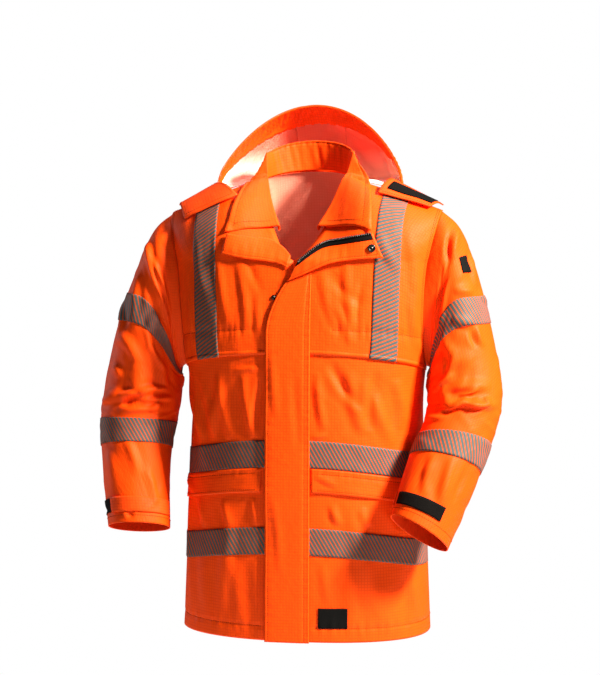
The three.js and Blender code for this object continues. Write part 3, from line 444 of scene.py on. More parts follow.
# U from the middle to the armhole, h: -1 hem, 0 foot of the armhole, 1 chest, 2 shoulder seam.
def panelPoint(u, h, side):
    u, h = np.broadcast_arrays(np.asarray(u, float), np.asarray(h, float))
    across = np.abs(u)
    z = np.where(h < 0, mix(armBottomZ, hemZ, -h),
        armMidZ - armHalfHeight * np.cos(np.clip(h, 0, 1) * chestTurn))
    lift = yokeDroop * (1 - across ** 1.5) * (1 - np.abs(np.clip(h, -1, 1))) if side == "front" else 0.0
    angle = across * edgeAngle(z, side)
    low = bodyPoint(angle if side == "front" else np.pi - angle, z + lift)
    rise = np.sin((np.clip(h, 1, 2) - 1) * np.pi / 2)
    lowShare = bodyPoint(across * edgeAngle(np.array(float(chestZ)), side),
        np.full(u.shape, float(chestZ)))[..., 0] / chestEdge[side]
    topShare = mix(neckX / tipX, 1, across) if side == "front" else across
    opening = neckX / tipX * (rise ** neckCurve - rise) * (1 - across) ** 2 if side == "front" else 0.0
    high = upperPoint(mix(lowShare, topShare, rise) + opening, rise, side)
    point = np.where((h <= 1)[..., None], low, high)
    point[..., 0] *= np.where(u < 0, -1, 1)
    return point


def halved(shape, isBelow):  # closes in on the shares from 0 to 1 where isBelow ends
    low, high = np.zeros(shape), np.ones(shape)
    for _ in range(24):
        middle = (low + high) / 2
        below = isBelow(middle)
        low, high = np.where(below, middle, low), np.where(below, high, middle)
    return low, high


def shareAt(x, h, side):
    low, high = halved(np.shape(x), lambda u: panelPoint(u, h, side)[..., 0] < np.abs(x))
    return (low + high) / 2


def chestY(x, z):  # depth of the chest's surface, seen from the front
    distance = np.abs(x)
    half, square, depth = (read(bodySections, "z", z, name) for name in ("half", "square", "front"))
    lower = -depth * (1 - np.minimum(0.995, distance / half) ** square) ** (1 / square)
    edgeX = mix(chestEdge["front"], tipX, np.clip((z - chestZ) / (tipZ - chestZ), 0, 1))
    u = np.minimum(1, distance / edgeX)
    rise = np.clip((z - chestZ) / (shoulderSeamZ(u * tipX) - chestZ), 0, 1)
    return np.where(z <= chestZ, lower, upperPoint(u, rise, "front")[..., 1])


def chestTop(x, y):
    u = np.minimum(1, x / tipX)
    low = halved(np.shape(x), lambda rise: upperPoint(u, rise, "front")[..., 1] < y)[0]
    return upperPoint(u, low, "front")[..., 2]


def shoulderPoint(x, angle):
    u, rise = x / tipX, np.cos(angle)
    return np.where((angle > 0)[..., None], upperPoint(u, rise, "front"), upperPoint(u, rise, "back"))


def armholePoint(turn):
    isFront = np.sin(turn) >= 0
    z = armMidZ + armHalfHeight * np.cos(turn)
    rise = np.clip((z - chestZ) / (tipZ - chestZ), 0, 1)
    ones = np.ones(np.shape(turn))
    high = np.where(isFront[..., None], upperPoint(ones, rise, "front"), upperPoint(ones, rise, "back"))
    angle = np.where(isFront, edgeAngle(z, "front"), np.pi - edgeAngle(z, "back"))
    return np.where((z > chestZ)[..., None], high, bodyPoint(angle, z))


def sleevePoint(rings, folds, turn, ring):  # turn 0 outside, a quarter in front, a half at the body
    turn, ring = np.broadcast_arrays(np.asarray(turn, float), np.asarray(ring, float))
    row = {name: read(rings, "ring", ring, name) for name in rings}
    reach = (1 + np.cos(turn)) / 2
    drop = (1 - reach) ** row["lag"]
    forward = row["depth"] * np.sin(turn)
    lean = np.radians(row["lean"])
    rise = foldHeight(folds, np.mod(np.degrees(turn), 360), ring, 0.028)
    x = mix(row["inX"], row["outX"], reach) + rise * np.cos(turn)
    y = row["midY"] - forward * np.cos(lean) - rise * np.sin(turn)
    z = mix(row["outZ"], row["inZ"], drop) + forward * np.sin(lean)
    join = 1 - smooth(ring, 0, 2.5)
    seam = armholePoint(turn)
    x = x + (seam[..., 0] - mix(rings["inX"][0], rings["outX"][0], reach)) * join
    y = y + (seam[..., 1] + rings["depth"][0] * np.sin(turn)) * join
    return np.stack([x, y, z], -1)


def collarPoint(t, s):  # t from the right wing's end over the back of the neck to the left wing's end
    t, s = np.broadcast_arrays(np.asarray(t, float), np.asarray(s, float))
    along, sign = np.abs(t), np.where(t < 0, -1.0, 1.0)
    turn = np.minimum(along / 0.5, 1) * quarter
    sine, cosine = np.sin(turn), np.cos(turn)
    band = {"base": (mix(0, 80, sine), mix(4, backNeckY - 3, cosine), mix(24, backNeckZ + 2, cosine)),
        "edge": (mix(0, 84, sine), mix(26, 80, cosine), mix(70, 102, cosine))}
    band["roll"] = tuple(mix(a, b, 0.42) for a, b in zip(band["base"], band["edge"]))
    opened = smooth(along, 0.3, 0.5)
    band["roll"] = (mix(band["roll"][0], 83 * sine, opened * 0.85), mix(band["roll"][1], 25, opened),
        mix(band["roll"][2], 70, opened * 0.85))
    at = np.clip((along - 0.5) / 0.5, 0, 1)
    where = {}
    for name in ("base", "roll", "edge"):
        left = [read(leftWing, "along", at, name + axis) for axis in "XYZ"]
        right = [read(rightWing, "along", at, name + axis) for axis in "XYZ"]
        where[name] = [np.where(along <= 0.5, b, np.where(sign > 0, l, r))
            for b, l, r in zip(band[name], left, right)]
    k = 0.42
    control = [(roll - (1 - k) ** 2 * base - k * k * edge) / (2 * k * (1 - k))
        for base, roll, edge in zip(where["base"], where["roll"], where["edge"])]
    x, y, z = [(1 - s) ** 2 * base + 2 * s * (1 - s) * bend + s * s * edge
        for base, bend, edge in zip(where["base"], control, where["edge"])]
    lift = 12 * smooth(s, 0, 0.3)
    ready = smooth(along, 0.5, 0.56)
    forward = np.maximum(y - chestY(x, z) + lift, 1e-3) * ready
    upward = np.maximum(chestTop(np.abs(x), y) + lift - z, 1e-3) * ready
    both = forward ** 2 + upward ** 2 + 1e-9
    return np.stack([x * sign, y - forward * upward ** 2 / both, z + upward * forward ** 2 / both], -1)


# T round the rim from the right foot to the left, v from the rim back and down to the neck.
def hoodPoint(t, v):
    t, v = np.broadcast_arrays(np.asarray(t, float), np.asarray(v, float))
    sine, cosine = np.sin(t * quarter), np.maximum(0, np.cos(t * quarter))
    rim = [hood["midX"] * cosine + hood["halfWidth"] * sine, hood["footY"] + hood["back"] * cosine ** 1.2,
        hood["footZ"] + hood["rise"] * cosine ** 1.45]
    seat = [(neckX + 1) * sine, 1 + backNeckY * cosine, neckZ + 1.75 + (backNeckZ - neckZ) * cosine]
    upper = [rim[0] + 10 * sine, rim[1] + 24 + 92 * cosine, rim[2] - 4 - 22 * cosine]
    lower = [mix(seat[0], rim[0], 0.55), seat[1] + 22 + 126 * cosine, mix(28, -34, cosine ** 1.3)]
    w = 1 - v
    x, y, z = [w ** 3 * a + 3 * w * w * v * b + 3 * w * v * v * c + v ** 3 * d
        for a, b, c, d in zip(rim, upper, lower, seat)]
    z = z - hoodSag * smooth(np.abs(t), 0.78, 1.0) * (1 - v) ** 0.6  # its feet lie on the shoulders
    return np.stack([x, y, z], -1)


print("forms ready")


# Cloth tools: grids of points in mm, creases, walls and stitches.
def normalsOf(points, closed=False):
    if closed:
        ring = points[:, :-1]
        du = np.roll(ring, -1, 1) - np.roll(ring, 1, 1)
        du = np.concatenate([du, du[:, :1]], 1)
    else:
        du = np.gradient(points, axis=1)
    dv = np.gradient(points, axis=0)
    normal = np.cross(du, dv)
    return normal / np.maximum(np.linalg.norm(normal, axis=-1, keepdims=True), 1e-9)


def surface(at, us, vs, relief=None, closed=False, originColumn=0, flip=False):
    us, vs = np.asarray(us, float), np.asarray(vs, float)
    u, v = np.meshgrid(us, vs)
    points = at(u, v)
    across = np.concatenate([np.zeros((len(vs), 1)),
        np.cumsum(np.linalg.norm(np.diff(points, axis=1), axis=-1), 1)], 1)
    up = np.concatenate([np.zeros((1, len(us))), np.cumsum(np.linalg.norm(np.diff(points, axis=0), axis=-1),
        0)], 0)
    across = across - across[:, [originColumn]]
    mm = np.stack([-across, -up] if flip else [across, up], -1)
    if relief is not None:
        normal = normalsOf(points, closed)
        height = relief(u, v, points, mm)
        points = points + normal * height[..., None]
    return {"us": us, "vs": vs, "points": points, "normals": normalsOf(points, closed), "mm": mm,
        "closed": closed}


def sample(surf, u, v):
    us, vs = surf["us"], surf["vs"]
    u, v = np.broadcast_arrays(np.asarray(u, float), np.asarray(v, float))
    if surf["closed"]:
        u = np.mod(u - us[0], us[-1] - us[0]) + us[0]
    i = np.clip(np.searchsorted(us, u) - 1, 0, len(us) - 2)
    j = np.clip(np.searchsorted(vs, v) - 1, 0, len(vs) - 2)
    s = np.clip((u - us[i]) / (us[i + 1] - us[i]), 0, 1)[..., None]
    t = np.clip((v - vs[j]) / (vs[j + 1] - vs[j]), 0, 1)[..., None]
    found = []
    for grid in (surf["points"], surf["normals"]):
        found.append(mix(mix(grid[j, i], grid[j, i + 1], s), mix(grid[j + 1, i], grid[j + 1, i + 1], s), t))
    return found


# A grid on a piece.
def laid(surf, place, us, vs, up, relief=None, closed=False, flip=False, originColumn=0, straight=True):
    def at(u, v):
        points, normals = sample(surf, *place(u, v))
        return points + normals * up
    made = surface(at, us, vs, relief, closed, originColumn, flip)
    if straight:  # the pattern keeps to the strip's own length and width
        made["mm"][..., 0] = made["mm"][..., 0].mean(0)
        made["mm"][..., 1] = made["mm"][..., 1].mean(1)[:, None]
    return made


# A ridge with a trough beside it: from a, b to a, b, half width, depth, bow.
def crease(a, b, rows, turnedBy=1.5):
    height = np.zeros(a.shape)
    for a0, b0, a1, b1, width, depth, bow in rows:
        length = math.hypot(a1 - a0, b1 - b0)
        ea, eb = (a1 - a0) / length, (b1 - b0) / length
        along = ((a - a0) * ea + (b - b0) * eb) / length
        fade = np.clip(along, 0, 1)
        across = (((a - a0) * eb - (b - b0) * ea) - bow * 4 * fade * (1 - fade)) / width
        shape = (0.6 - turnedBy * across) * np.exp(-across ** 2)
        height += depth * np.sin(np.pi * fade) ** 0.7 * shape * ((along > 0) & (along < 1))
    return height


# Small uneven creases, the same on every run.
def scattered(a, b, seed, count, box, length, angle, width, depth):
    random = np.random.default_rng(seed)
    rows = []
    for _ in range(count):
        ca, cb = random.uniform(box[0], box[1]), random.uniform(box[2], box[3])
        size, turn = random.uniform(*length), math.radians(random.normal(angle[0], angle[1]))
        da, db = size / 2 * math.cos(turn), size / 2 * math.sin(turn)
        rows.append((ca - da, cb - db, ca + da, cb + db, random.uniform(*width),
            random.uniform(*depth) * random.choice([-1, 1]), random.normal(0, size * 0.06)))
    return crease(a, b, rows, 0.7)


def pucker(distance, along, seed, reach, wave, depth):  # ripples that fade away from a sewn line
    random = np.random.default_rng(seed)
    phase = random.uniform(0, 6.28, 4)
    ripple = sum(np.sin(2 * np.pi * along / (wave * k) + p) / (1 + i)
        for i, (k, p) in enumerate(zip((1, 1.37, 0.71, 1.93), phase)))
    return depth * ripple * np.exp(-(distance / reach) ** 2)


def sewn(distance, width=3.2, depth=1.5):  # the dent that a line of stitches pulls into the cloth
    return -depth * np.exp(-(distance / width) ** 2)


def linked(name, mesh, replaced=()):
    piece = bpy.data.objects.new(name, mesh)
    bpy.context.scene.collection.objects.link(piece)
    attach(piece, "root")
    if replaced:
        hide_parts(*replaced)
    return piece


# One cloth piece with two sides, named after the node that it replaces.
def wallMesh(node, surf, inner, outer, materials, cut,
        standsFor=None):
    name = node + "_cloth"
    points, normals, mm, closed = surf["points"], surf["normals"], surf["mm"], surf["closed"]
    rows, cols = points.shape[:2]
    layers = np.stack([points + normals * inner, points + normals * outer]) / 1000
    verts = layers.reshape(-1, 3)
    index = np.arange(rows * cols).reshape(rows, cols)
    if closed:
        index[:, -1] = index[:, 0]
    near, far = index, index + rows * cols
    uvIndex = np.arange(rows * cols).reshape(rows, cols)
    quads, uvs, kinds = [], [], []

    def addQuads(a, b, c, d, ua, ub, uc, ud, kind):
        quads.append(np.stack([a, b, c, d], -1).reshape(-1, 4))
        uvs.append(np.stack([ua, ub, uc, ud], -1).reshape(-1, 4))
        kinds.append(np.full(quads[-1].shape[0], kind))

    p, q, r, s = (slice(None, -1), slice(None, -1)), (slice(None, -1), slice(1, None)), (slice(1, None),
        slice(1, None)), (slice(1, None), slice(None, -1))
    addQuads(far[p], far[q], far[r], far[s], uvIndex[p], uvIndex[q], uvIndex[r], uvIndex[s], 0)
    addQuads(near[p], near[s], near[r], near[q], uvIndex[p], uvIndex[s], uvIndex[r], uvIndex[q], 1)
    for j, order in ((0, 1), (-1, -1)):
        a, b = (near[j, :-1], near[j, 1:])[::order]
        c, d = (far[j, 1:], far[j, :-1])[::order]
        ua, ub = (uvIndex[j, :-1], uvIndex[j, 1:])[::order]
        addQuads(a, b, c, d, ua, ub, ub, ua, 0)
    if not closed:
        for i, order in ((0, -1), (-1, 1)):
            a, b = (near[:-1, i], near[1:, i])[::order]
            c, d = (far[1:, i], far[:-1, i])[::order]
            ua, ub = (uvIndex[:-1, i], uvIndex[1:, i])[::order]
            addQuads(a, b, c, d, ua, ub, ub, ua, 0)
    quads, uvs, kinds = np.concatenate(quads), np.concatenate(uvs), np.concatenate(kinds)
    used, compact = np.unique(quads, return_inverse=True)
    mesh = bpy.data.meshes.new(name)
    mesh.from_pydata(verts[used].tolist(), [], compact.reshape(-1, 4).tolist())
    layer = mesh.uv_layers.new(name="cloth")
    layer.data.foreach_set("uv", mm.reshape(-1, 2)[uvs.reshape(-1)].astype(np.float32).ravel())
    mesh.polygons.foreach_set("material_index", kinds.astype(np.int32))
    rim = np.arange(len(quads)) >= 2 * (rows - 1) * (cols - 1)
    mesh.polygons.foreach_set("use_smooth", ~rim)
    mesh.update()
    for material in materials:
        mesh.materials.append(material)
    piece = linked(name, mesh, [standsFor or node])
    flat = np.linalg.norm(np.cross(points[1:, 1:] - points[:-1, :-1], points[1:, :-1] - points[:-1, 1:]),
        axis=-1).sum() / 2e6
    print(name, "cut", cut, "cloth area", round(float(flat), 4))
    return piece


# Coarser than real thread, so that it shows.
stitchSet = {"pitch": 4.4, "length": 3.1, "width": 1.1, "height": 0.6}


# Each line: points and normals along a seam, in mm.
def stitches(name, lines):
    verts, faces = [], []
    for points, normals in lines:
        steps = np.concatenate([[0], np.cumsum(np.linalg.norm(np.diff(points, axis=0), axis=1))])
        starts = np.arange(stitchSet["pitch"] / 2, steps[-1] - stitchSet["length"], stitchSet["pitch"])
        for start in starts:
            marks = start + stitchSet["length"] * np.array([0, 0.2, 0.8, 1])
            at = np.stack([np.interp(marks, steps, points[:, k]) for k in range(3)], -1)
            up = np.stack([np.interp(marks, steps, normals[:, k]) for k in range(3)], -1)
            up /= np.linalg.norm(up, axis=1, keepdims=True)
            side = np.cross(at[-1] - at[0], up[0])
            side /= max(np.linalg.norm(side), 1e-9)
            first = len(verts)
            for k, (grow, rise) in enumerate(((0.5, -0.2), (1, 1), (1, 1), (0.5, -0.2))):
                top = at[k] + up[k] * stitchSet["height"] * rise
                low = at[k] - up[k] * stitchSet["height"] * 0.4
                half = side * stitchSet["width"] / 2 * grow
                verts += [top, at[k] + half, low, at[k] - half]
                if k:
                    for m in range(4):
                        a, b = first + 4 * (k - 1) + m, first + 4 * (k - 1) + (m + 1) % 4
                        faces.append((a, b, b + 4, a + 4))
            faces += [(first + 3, first + 2, first + 1, first),
                (first + 12, first + 13, first + 14, first + 15)]
    mesh = bpy.data.meshes.new(name)
    mesh.from_pydata([[float(c) / 1000 for c in v] for v in verts], [], faces)
    mesh.uv_layers.new(name="cloth")
    mesh.materials.append(threadWithPaintedShade)
    for polygon in mesh.polygons:
        polygon.use_smooth = True
    return linked(name, mesh)


def seamOn(surf, us, vs, up):  # a line on a piece, for stitching
    count = 2 if np.ndim(us) == 0 and np.ndim(vs) == 0 else max(np.size(us), np.size(vs))
    points, normals = sample(surf, np.broadcast_to(us, count), np.broadcast_to(vs, count))
    return points + normals * up, normals


def spaced(start, stop, size, length):  # evenly placed values about size mm apart over length mm
    return np.linspace(start, stop, max(2, int(round(length / size)) + 1))


clothStep = 3.8  # mm between grid lines
stripRows = np.linspace(0, 1, 14)  # rows across a narrow strip
seatGap = 0.6  # mm between a strip and the cloth under it
threadUp = 0.1  # mm from the cloth's face to the middle of a thread
hemHeight = 26  # mm from the hem to its row of stitches
shoulderTop = 1.9965  # height scale value just short of the shoulder seam
inside = [orangeRipstop, liningWithPaintedBounce]
bothSides = [orangeRipstop, orangeRipstop]

# Back panel.
backSet = {"cut": (0.62, 0.93), "area": 0.51, "folds": [
    (-170, -150, -120, -300, 16, 3.5, 6), (160, -140, 118, -310, 16, 3.5, -6),
    (-60, -110, 40, -135, 18, 2.5, 8),
    (-200, -420, -140, -560, 16, 4, 8), (190, -400, 150, -560, 16, 4, -8),
    (-90, -560, -110, -800, 18, 3.5, 0),
    (60, -540, 82, -800, 18, 4, 4), (0, -300, 12, -520, 22, -3, 0), (-150, -330, 20, -400, 12, 2.5, 10),
    (20, -400, 160, -345, 12, 2.5, 8)]}


def backRelief(u, h, points, mm):
    x, z = points[..., 0], points[..., 2]
    edge = np.clip((1 - np.abs(u)) * 12, 0, 1) * np.clip((shoulderTop - h) * 6, 0, 1)
    height = crease(x, z, backSet["folds"]) + scattered(x, z, 11, 90, (-240, 240, -820, -40), (60, 170),
        (84, 28), (6, 13), (0.3, 1.1))
    return height * edge


backAt = lambda u, h: panelPoint(-u, h, "back")
backRows = np.concatenate([spaced(-1, 0, clothStep, 500)[:-1], spaced(0, 1, clothStep, 196)[:-1],
    spaced(1, shoulderTop, clothStep, 210)])
backSurf = surface(backAt, spaced(-1, 1, clothStep * 1.05, 640), backRows, backRelief, originColumn=80)
wallMesh("back", backSurf, -shellWall, 0, inside, backSet["cut"],
    "back_panel")


def backAlong(z):  # height scale value at a height below the armholes
    return -(armBottomZ - z) / (armBottomZ - hemZ)


def drooped(topZ, angle, down):
    return topZ - tapeDroop * np.sin(angle) ** 2 - down


for label, topZ, bandLength in (("waist", waistTapeZ, 0.606), ("lower", lowerTapeZ, 0.63)):
    place = lambda u, v: (u, backAlong(drooped(topZ, quarter * (1 - np.abs(u)), tapeWidth * (1 - v))))
    band = laid(backSurf, place, backSurf["us"], stripRows, seatGap)
    wallMesh(label + "_tape_back", band, 0, tapeShown, [bandTape, bandTape],
        (bandLength, 0.05))
hemLine = spaced(-0.995, 0.995, 4, 640)
stitches("hem_stitches_back", [seamOn(backSurf, hemLine, backAlong(hemZ + hemHeight), threadUp)])
stitches("armhole_stitches_back", [seamOn(backSurf, share, spaced(0.03, 1.96, 4, 330), threadUp)
    for share in (-0.975, -0.957, 0.957, 0.975)])
print("back done")

# Fronts, yokes and what lies on them, one side at a time.
frontSet = {
    "cut": (0.33, 0.56), "area": 0.17, "yokeCut": (0.34, 0.34), "yokeArea": 0.087,
    "band": {"left": (0.276, 0.29), "right": (0.262, 0.274)},
    "pocket": {"left": (0.2545, 0.044), "right": (0.232, 0.044)},
    "left": {"folds": [
        (42, -330, 56, -440, 9, 4, 3), (66, -316, 120, -400, 10, -5, 4),
        (98, -330, 124, -448, 12, 4.5, 5), (146, -332, 134, -438, 11, -4, 3),
        (178, -346, 188, -440, 12, 4, -4), (34, -452, 66, -446, 5, 3, 2),
        (40, -520, 84, -540, 6, 2.5, 2), (70, -574, 84, -612, 8, 4, 2),
        (124, -580, 136, -616, 9, 3.5, 3), (178, -582, 188, -624, 9, -3.5, 2),
        (54, -674, 66, -760, 10, 1.6, 3), (98, -684, 112, -820, 16, 1.8, 4),
        (160, -694, 166, -816, 18, 2.2, 5), (200, -692, 198, -808, 14, -2, 3),
        (214, -720, 226, -808, 12, 2, 2)],
        "yokeFolds": [(44, -132, 78, -254, 9.6, 3.0, 6), (92, -120, 112, -266, 9.6, 3.0, 6),
            (124, -160, 112, -276, 8.0, -2.4, 4), (200, -74, 212, -250, 10.4, 2.4, -6),
                      (206, -190, 224, -314, 8.0, 2.7, 4), (68, -200, 104, -286, 8.0, 2.4, -4),
                      (60, -150, 130, -215, 11.2, -2.7, 8), (150, -80, 186, -150, 9.6, 2.4, 5)]},
    "right": {"folds": [
        (-232, -350, -178, -466, 12, 5, 6), (-194, -338, -158, -464, 12, 4.5, -5),
        (-148, -336, -124, -460, 12, 5, 5), (-98, -334, -78, -458, 11, 4.5, 4),
        (-58, -338, -70, -440, 9, -4, 3), (-60, -322, -112, -330, 6, 3, 2),
        (-224, -540, -200, -568, 7, 3.5, 2), (-188, -574, -178, -628, 9, 4, 2),
        (-136, -572, -122, -620, 9, 4, 2), (-78, -564, -68, -618, 8, 3.5, 2),
        (-184, -680, -168, -806, 16, 2.2, 5), (-126, -676, -104, -812, 16, 2, -4),
        (-74, -672, -60, -820, 13, 1.8, 4)],
        "yokeFolds": [(-206, -190, -190, -316, 8.8, 3.0, 4), (-150, -80, -122, -256, 10.4, 3.3, 7),
            (-112, -124, -88, -270, 9.6, 3.0, -5), (-70, -190, -56, -294, 8.0, 2.4, 3),
                      (-190, -90, -170, -200, 9.6, 2.7, 6), (-96, -110, -60, -190, 8.0, -2.4, 4)]},
}


def frontTop(u):
    return np.minimum(yokeEdgeZ - yokeDroop * u ** 1.5 + yokeOverlap,
        mix(-160, armBottomZ - 2, smooth(u, 0, 0.999)))


def shareOf(x, z):
    half, square = read(bodySections, "z", z, "half"), read(bodySections, "z", z, "square")
    return float(np.arcsin(np.clip(np.abs(x) / half, 0, 1) ** (square / 2)) / quarter)


def awayFromFlap(x, z):  # 0 under the storm flap, 1 beside it
    free = np.where(z > storm["curveZ"], 0, storm["freeX"])
    return np.where(x > 0, smooth(x, storm["sewnX"] - 2, storm["sewnX"] + 10),
        1 - smooth(x, free - 10, free + 2))


yokeSeam = 0.46  # height share of the yoke's line of stitches
surfaces = {}
for side, sign in (("left", 1), ("right", -1)):
    rows = frontSet[side]["folds"]
    seed = 20 + sign

    def frontRelief(u, v, points, mm):
        x, z = points[..., 0], points[..., 2]
        edge = np.clip((1 - np.abs(u)) * 10, 0, 1) * awayFromFlap(x, z)
        height = crease(x, z, rows) + scattered(x, z, seed, 46, (-230, 230, -820, -270), (50, 130),
            (86, 30), (5, 11), (0.2, 1.0))
        hem = pucker(z - hemZ - hemHeight, x, seed + 7, 14, 17, 0.5) + sewn(z - hemZ - hemHeight)
        return (height + hem) * edge

    frontAt = lambda u, v: bodyPoint(u * quarter, mix(hemZ, frontTop(np.abs(u)), v))
    shares = spaced(0.0, 1.0, clothStep, 340) if sign > 0 else spaced(-1.0, 0.0, clothStep, 340)
    front = surface(frontAt, shares, spaced(0, 1, clothStep, 550), frontRelief,
        originColumn=0 if sign > 0 else -1)
    surfaces["front_" + side] = front
    wallMesh("front_" + side, front, -shellWall, 0, inside, frontSet["cut"])

    def frontV(u, z):
        return (z - hemZ) / (frontTop(np.abs(u)) - hemZ)

    hemLine = spaced(*sorted((sign * (0.09 if sign > 0 else 0.12), sign * 0.995)), 4, 330)
    stitches("hem_stitches_" + side, [seamOn(front, hemLine, frontV(hemLine, hemZ + hemHeight), threadUp)])

    def frontBand(fromX, toShare, topZ, height):
        fromShare = shareOf(fromX, topZ - height / 2)
        place = lambda u, v: (u, frontV(u, drooped(topZ, quarter * u, height * (1 - v))))
        inner, outer = sorted((sign * fromShare, sign * toShare))
        return place, spaced(inner, outer, clothStep, 320 * abs(toShare - fromShare))

    flapX = storm["sewnX"] if sign > 0 else storm["freeX"]
    for label, topZ, bandLength in zip(("waist", "lower"), (waistTapeZ, lowerTapeZ),
            frontSet["band"][side]):
        place, us = frontBand(abs(flapX) - 5, 1.0, topZ, tapeWidth)
        band = laid(front, place, us, stripRows, seatGap)
        wallMesh(label + "_tape_" + side, band, 0, tapeShown, [bandTape, bandTape],
            (bandLength, 0.05))

    pocketFrom = storm["sewnX"] + 2 if sign > 0 else 57
    place, us = frontBand(pocketFrom, 0.93, waistTapeZ - tapeWidth - 1, pocketFlapDrop)

    def flapRelief(u, v, points, mm):
        free = (1 - v) ** 1.5
        wave = free * (1.6 + 1.2 * np.sin(points[..., 0] / 17 + sign)) + pucker((1 - v) * 44 - 6,
            points[..., 0], seed + 3, 8, 13, 0.35)
        return wave + sewn((v - 0.8) * 44, 2.4, 1.0)

    flap = laid(front, place, us, stripRows, 1.0, flapRelief)
    flapEdge = np.linspace(0.03, 0.97, 60)
    stitches("pocket_stitches_" + side,
        [seamOn(flap, mix(us[0], us[-1], flapEdge), height, shellWall + threadUp)
        for height in (0.8, 0.12)])
    wallMesh("pocket_flap_" + side, flap, 0, shellWall, bothSides,
        frontSet["pocket"][side])

    # Yoke.
    yokeRows = frontSet[side].get("yokeFolds", [])

    def yokeRelief(u, h, points, mm):
        x, z = points[..., 0], points[..., 2]
        edge = np.clip((1 - np.abs(u)) * 9, 0, 1) * np.clip((shoulderTop - h) * 6, 0,
            1) * np.maximum(awayFromFlap(x, z), (z > -150))
        neck = np.clip(np.abs(u) * 8, 0, 1)
        height = crease(x, z, yokeRows) + scattered(x, z, seed + 40, 26, (-250, 250, -320, -40), (60, 150),
            (60, 60), (8, 15), (0.4, 1.3))
        seam = (h - yokeSeam) * 85
        return (height * neck + pucker(seam, x, seed + 2, 8, 12, 0.5)) * edge + sewn(seam) * (
            np.abs(u) > 0.16) * (np.abs(u) < 0.97)

    yokeShares = spaced(0.0, 1.0, clothStep, 300) if sign > 0 else spaced(-1.0, -1e-4, clothStep, 300)
    yokeHeights = np.concatenate([spaced(-0.018, 1, clothStep, 180)[:-1],
        spaced(1, shoulderTop, clothStep, 200)])
    yoke = surface(lambda u, h: panelPoint(u, h, "front"), yokeShares, yokeHeights, yokeRelief,
        originColumn=0 if sign > 0 else -1)
    inner = 0.16 if sign > 0 else 0.19
    yokeLine = spaced(*sorted((sign * inner, sign * 0.955)), 4, 200)
    ends = [seamOn(yoke, sign * share, spaced(0.02, 1.97, 4, 330), yokeOut + threadUp)
        for share in (0.975, 0.955)]
    stitches("yoke_stitches_" + side, [seamOn(yoke, yokeLine, yokeSeam, yokeOut + threadUp)] + ends)
    wallMesh("yoke_" + side, yoke, seamGap, yokeOut, inside, frontSet["yokeCut"])

    # Brace tapes, in front and behind.
    def bracePlace(s, h):
        x = mix(braceLowX, braceTopX, np.clip(h / 2, 0, 1)) + s * sign * tapeWidth * 0.45
        return sign * shareAt(x, h, "front"), h

    brace = laid(yoke, bracePlace, np.linspace(-1, 1, 14), yokeHeights[(yokeHeights < 1.99)], yokeOut + 0.4)
    wallMesh("brace_tape_front_" + side, brace, 0, tapeShown, [braceTape, braceTape],
        (0.045, 0.42))

    def backBracePlace(s, h):
        x = mix(braceLowX, braceTopX, np.clip((h + 0.3) / 2.3, 0, 1)) - s * sign * tapeWidth * 0.45
        return -sign * shareAt(x, h, "back"), h

    waistH = backAlong(drooped(waistTapeZ, quarter / 2, 0))
    brace = laid(backSurf, backBracePlace, np.linspace(-1, 1, 14),
        backRows[(backRows > waistH + 0.01) & (backRows < 1.99)], seatGap)
    wallMesh("brace_tape_back_" + side, brace, 0, tapeShown, [braceTape, braceTape],
        (0.045, 0.57))
print("fronts and yokes done")


def onChest(place, lift):
    def at(u, v):
        x, z = place(u, v)
        return np.stack([x, chestY(x, z) - lift(u, v), z], -1)
    return at


# Storm flap over the front opening.
stormSet = {"cut": (0.084, 0.66), "folds": [(-40, -300, -30, -420, 9, 1.6, 2),
    (0, -330, 12, -480, 10, -1.4, 2), (-36, -560, -24, -700, 9, 1.6, -2)]}


def stormPlace(u, v):
    z = mix(hemZ - 1, mix(storm["topFreeZ"], storm["topSewnZ"], u), v)
    curl = np.clip((z - storm["curveZ"]) / (storm["topFreeZ"] - storm["curveZ"]), 0, 1) ** 1.8
    return mix(mix(storm["freeX"], storm["topFreeX"], curl), storm["sewnX"], u), z


stormSeams = (0.885, 0.965, 0.08)  # two rows at the sewn edge, one at the free edge


def stormRelief(u, v, points, mm):
    x, z = points[..., 0], points[..., 2]
    free = (1 - u) ** 2
    lift = free * (1.5 + 1.3 * np.sin(z / 47) + 0.8 * np.sin(z / 23 + 1))
    wide = 82  # mm across the flap
    ripples = pucker((1 - u) * wide - 4, z, 5, 9, 14, 0.4) + pucker(u * wide - 7, z, 6, 8, 16, 0.3)
    inner, outer, free = stormSeams
    dents = sewn((u - inner) * wide, 2.2, 1.5) + sewn((u - outer) * wide, 2.2,
        1.5) + sewn((u - free) * wide, 2, 0.7)
    return lift + crease(x, z, stormSet["folds"]) + ripples + dents


stormSurf = surface(onChest(stormPlace, lambda u, v: storm["lift"]), np.linspace(0, 1, 28),
    spaced(0, 1, clothStep, 680), stormRelief)
wallMesh("storm_flap", stormSurf, 0, doubledWall, bothSides, stormSet["cut"])
stormLines = [seamOn(stormSurf, share, np.linspace(0.004, 0.985, 170), doubledWall + threadUp)
    for share in sorted(stormSeams)]
stitches("storm_stitches", stormLines)


# Lapels.
def lapelAt(rows, up=0.0):
    def along(u):
        return 1 - u if rows["topX"][0] > 0 else u
    def place(u, v):
        values = {name: read(rows, "along", along(u), name) for name in ("lowX", "topX", "lowZ", "topZ")}
        return mix(values["lowX"], values["topX"], v), mix(values["lowZ"], values["topZ"], v)
    return onChest(place, lambda u, v: read(rows, "along", along(u), "lift") + up)


lapelSeam = 0.14  # share of a lapel's height at its row of stitches


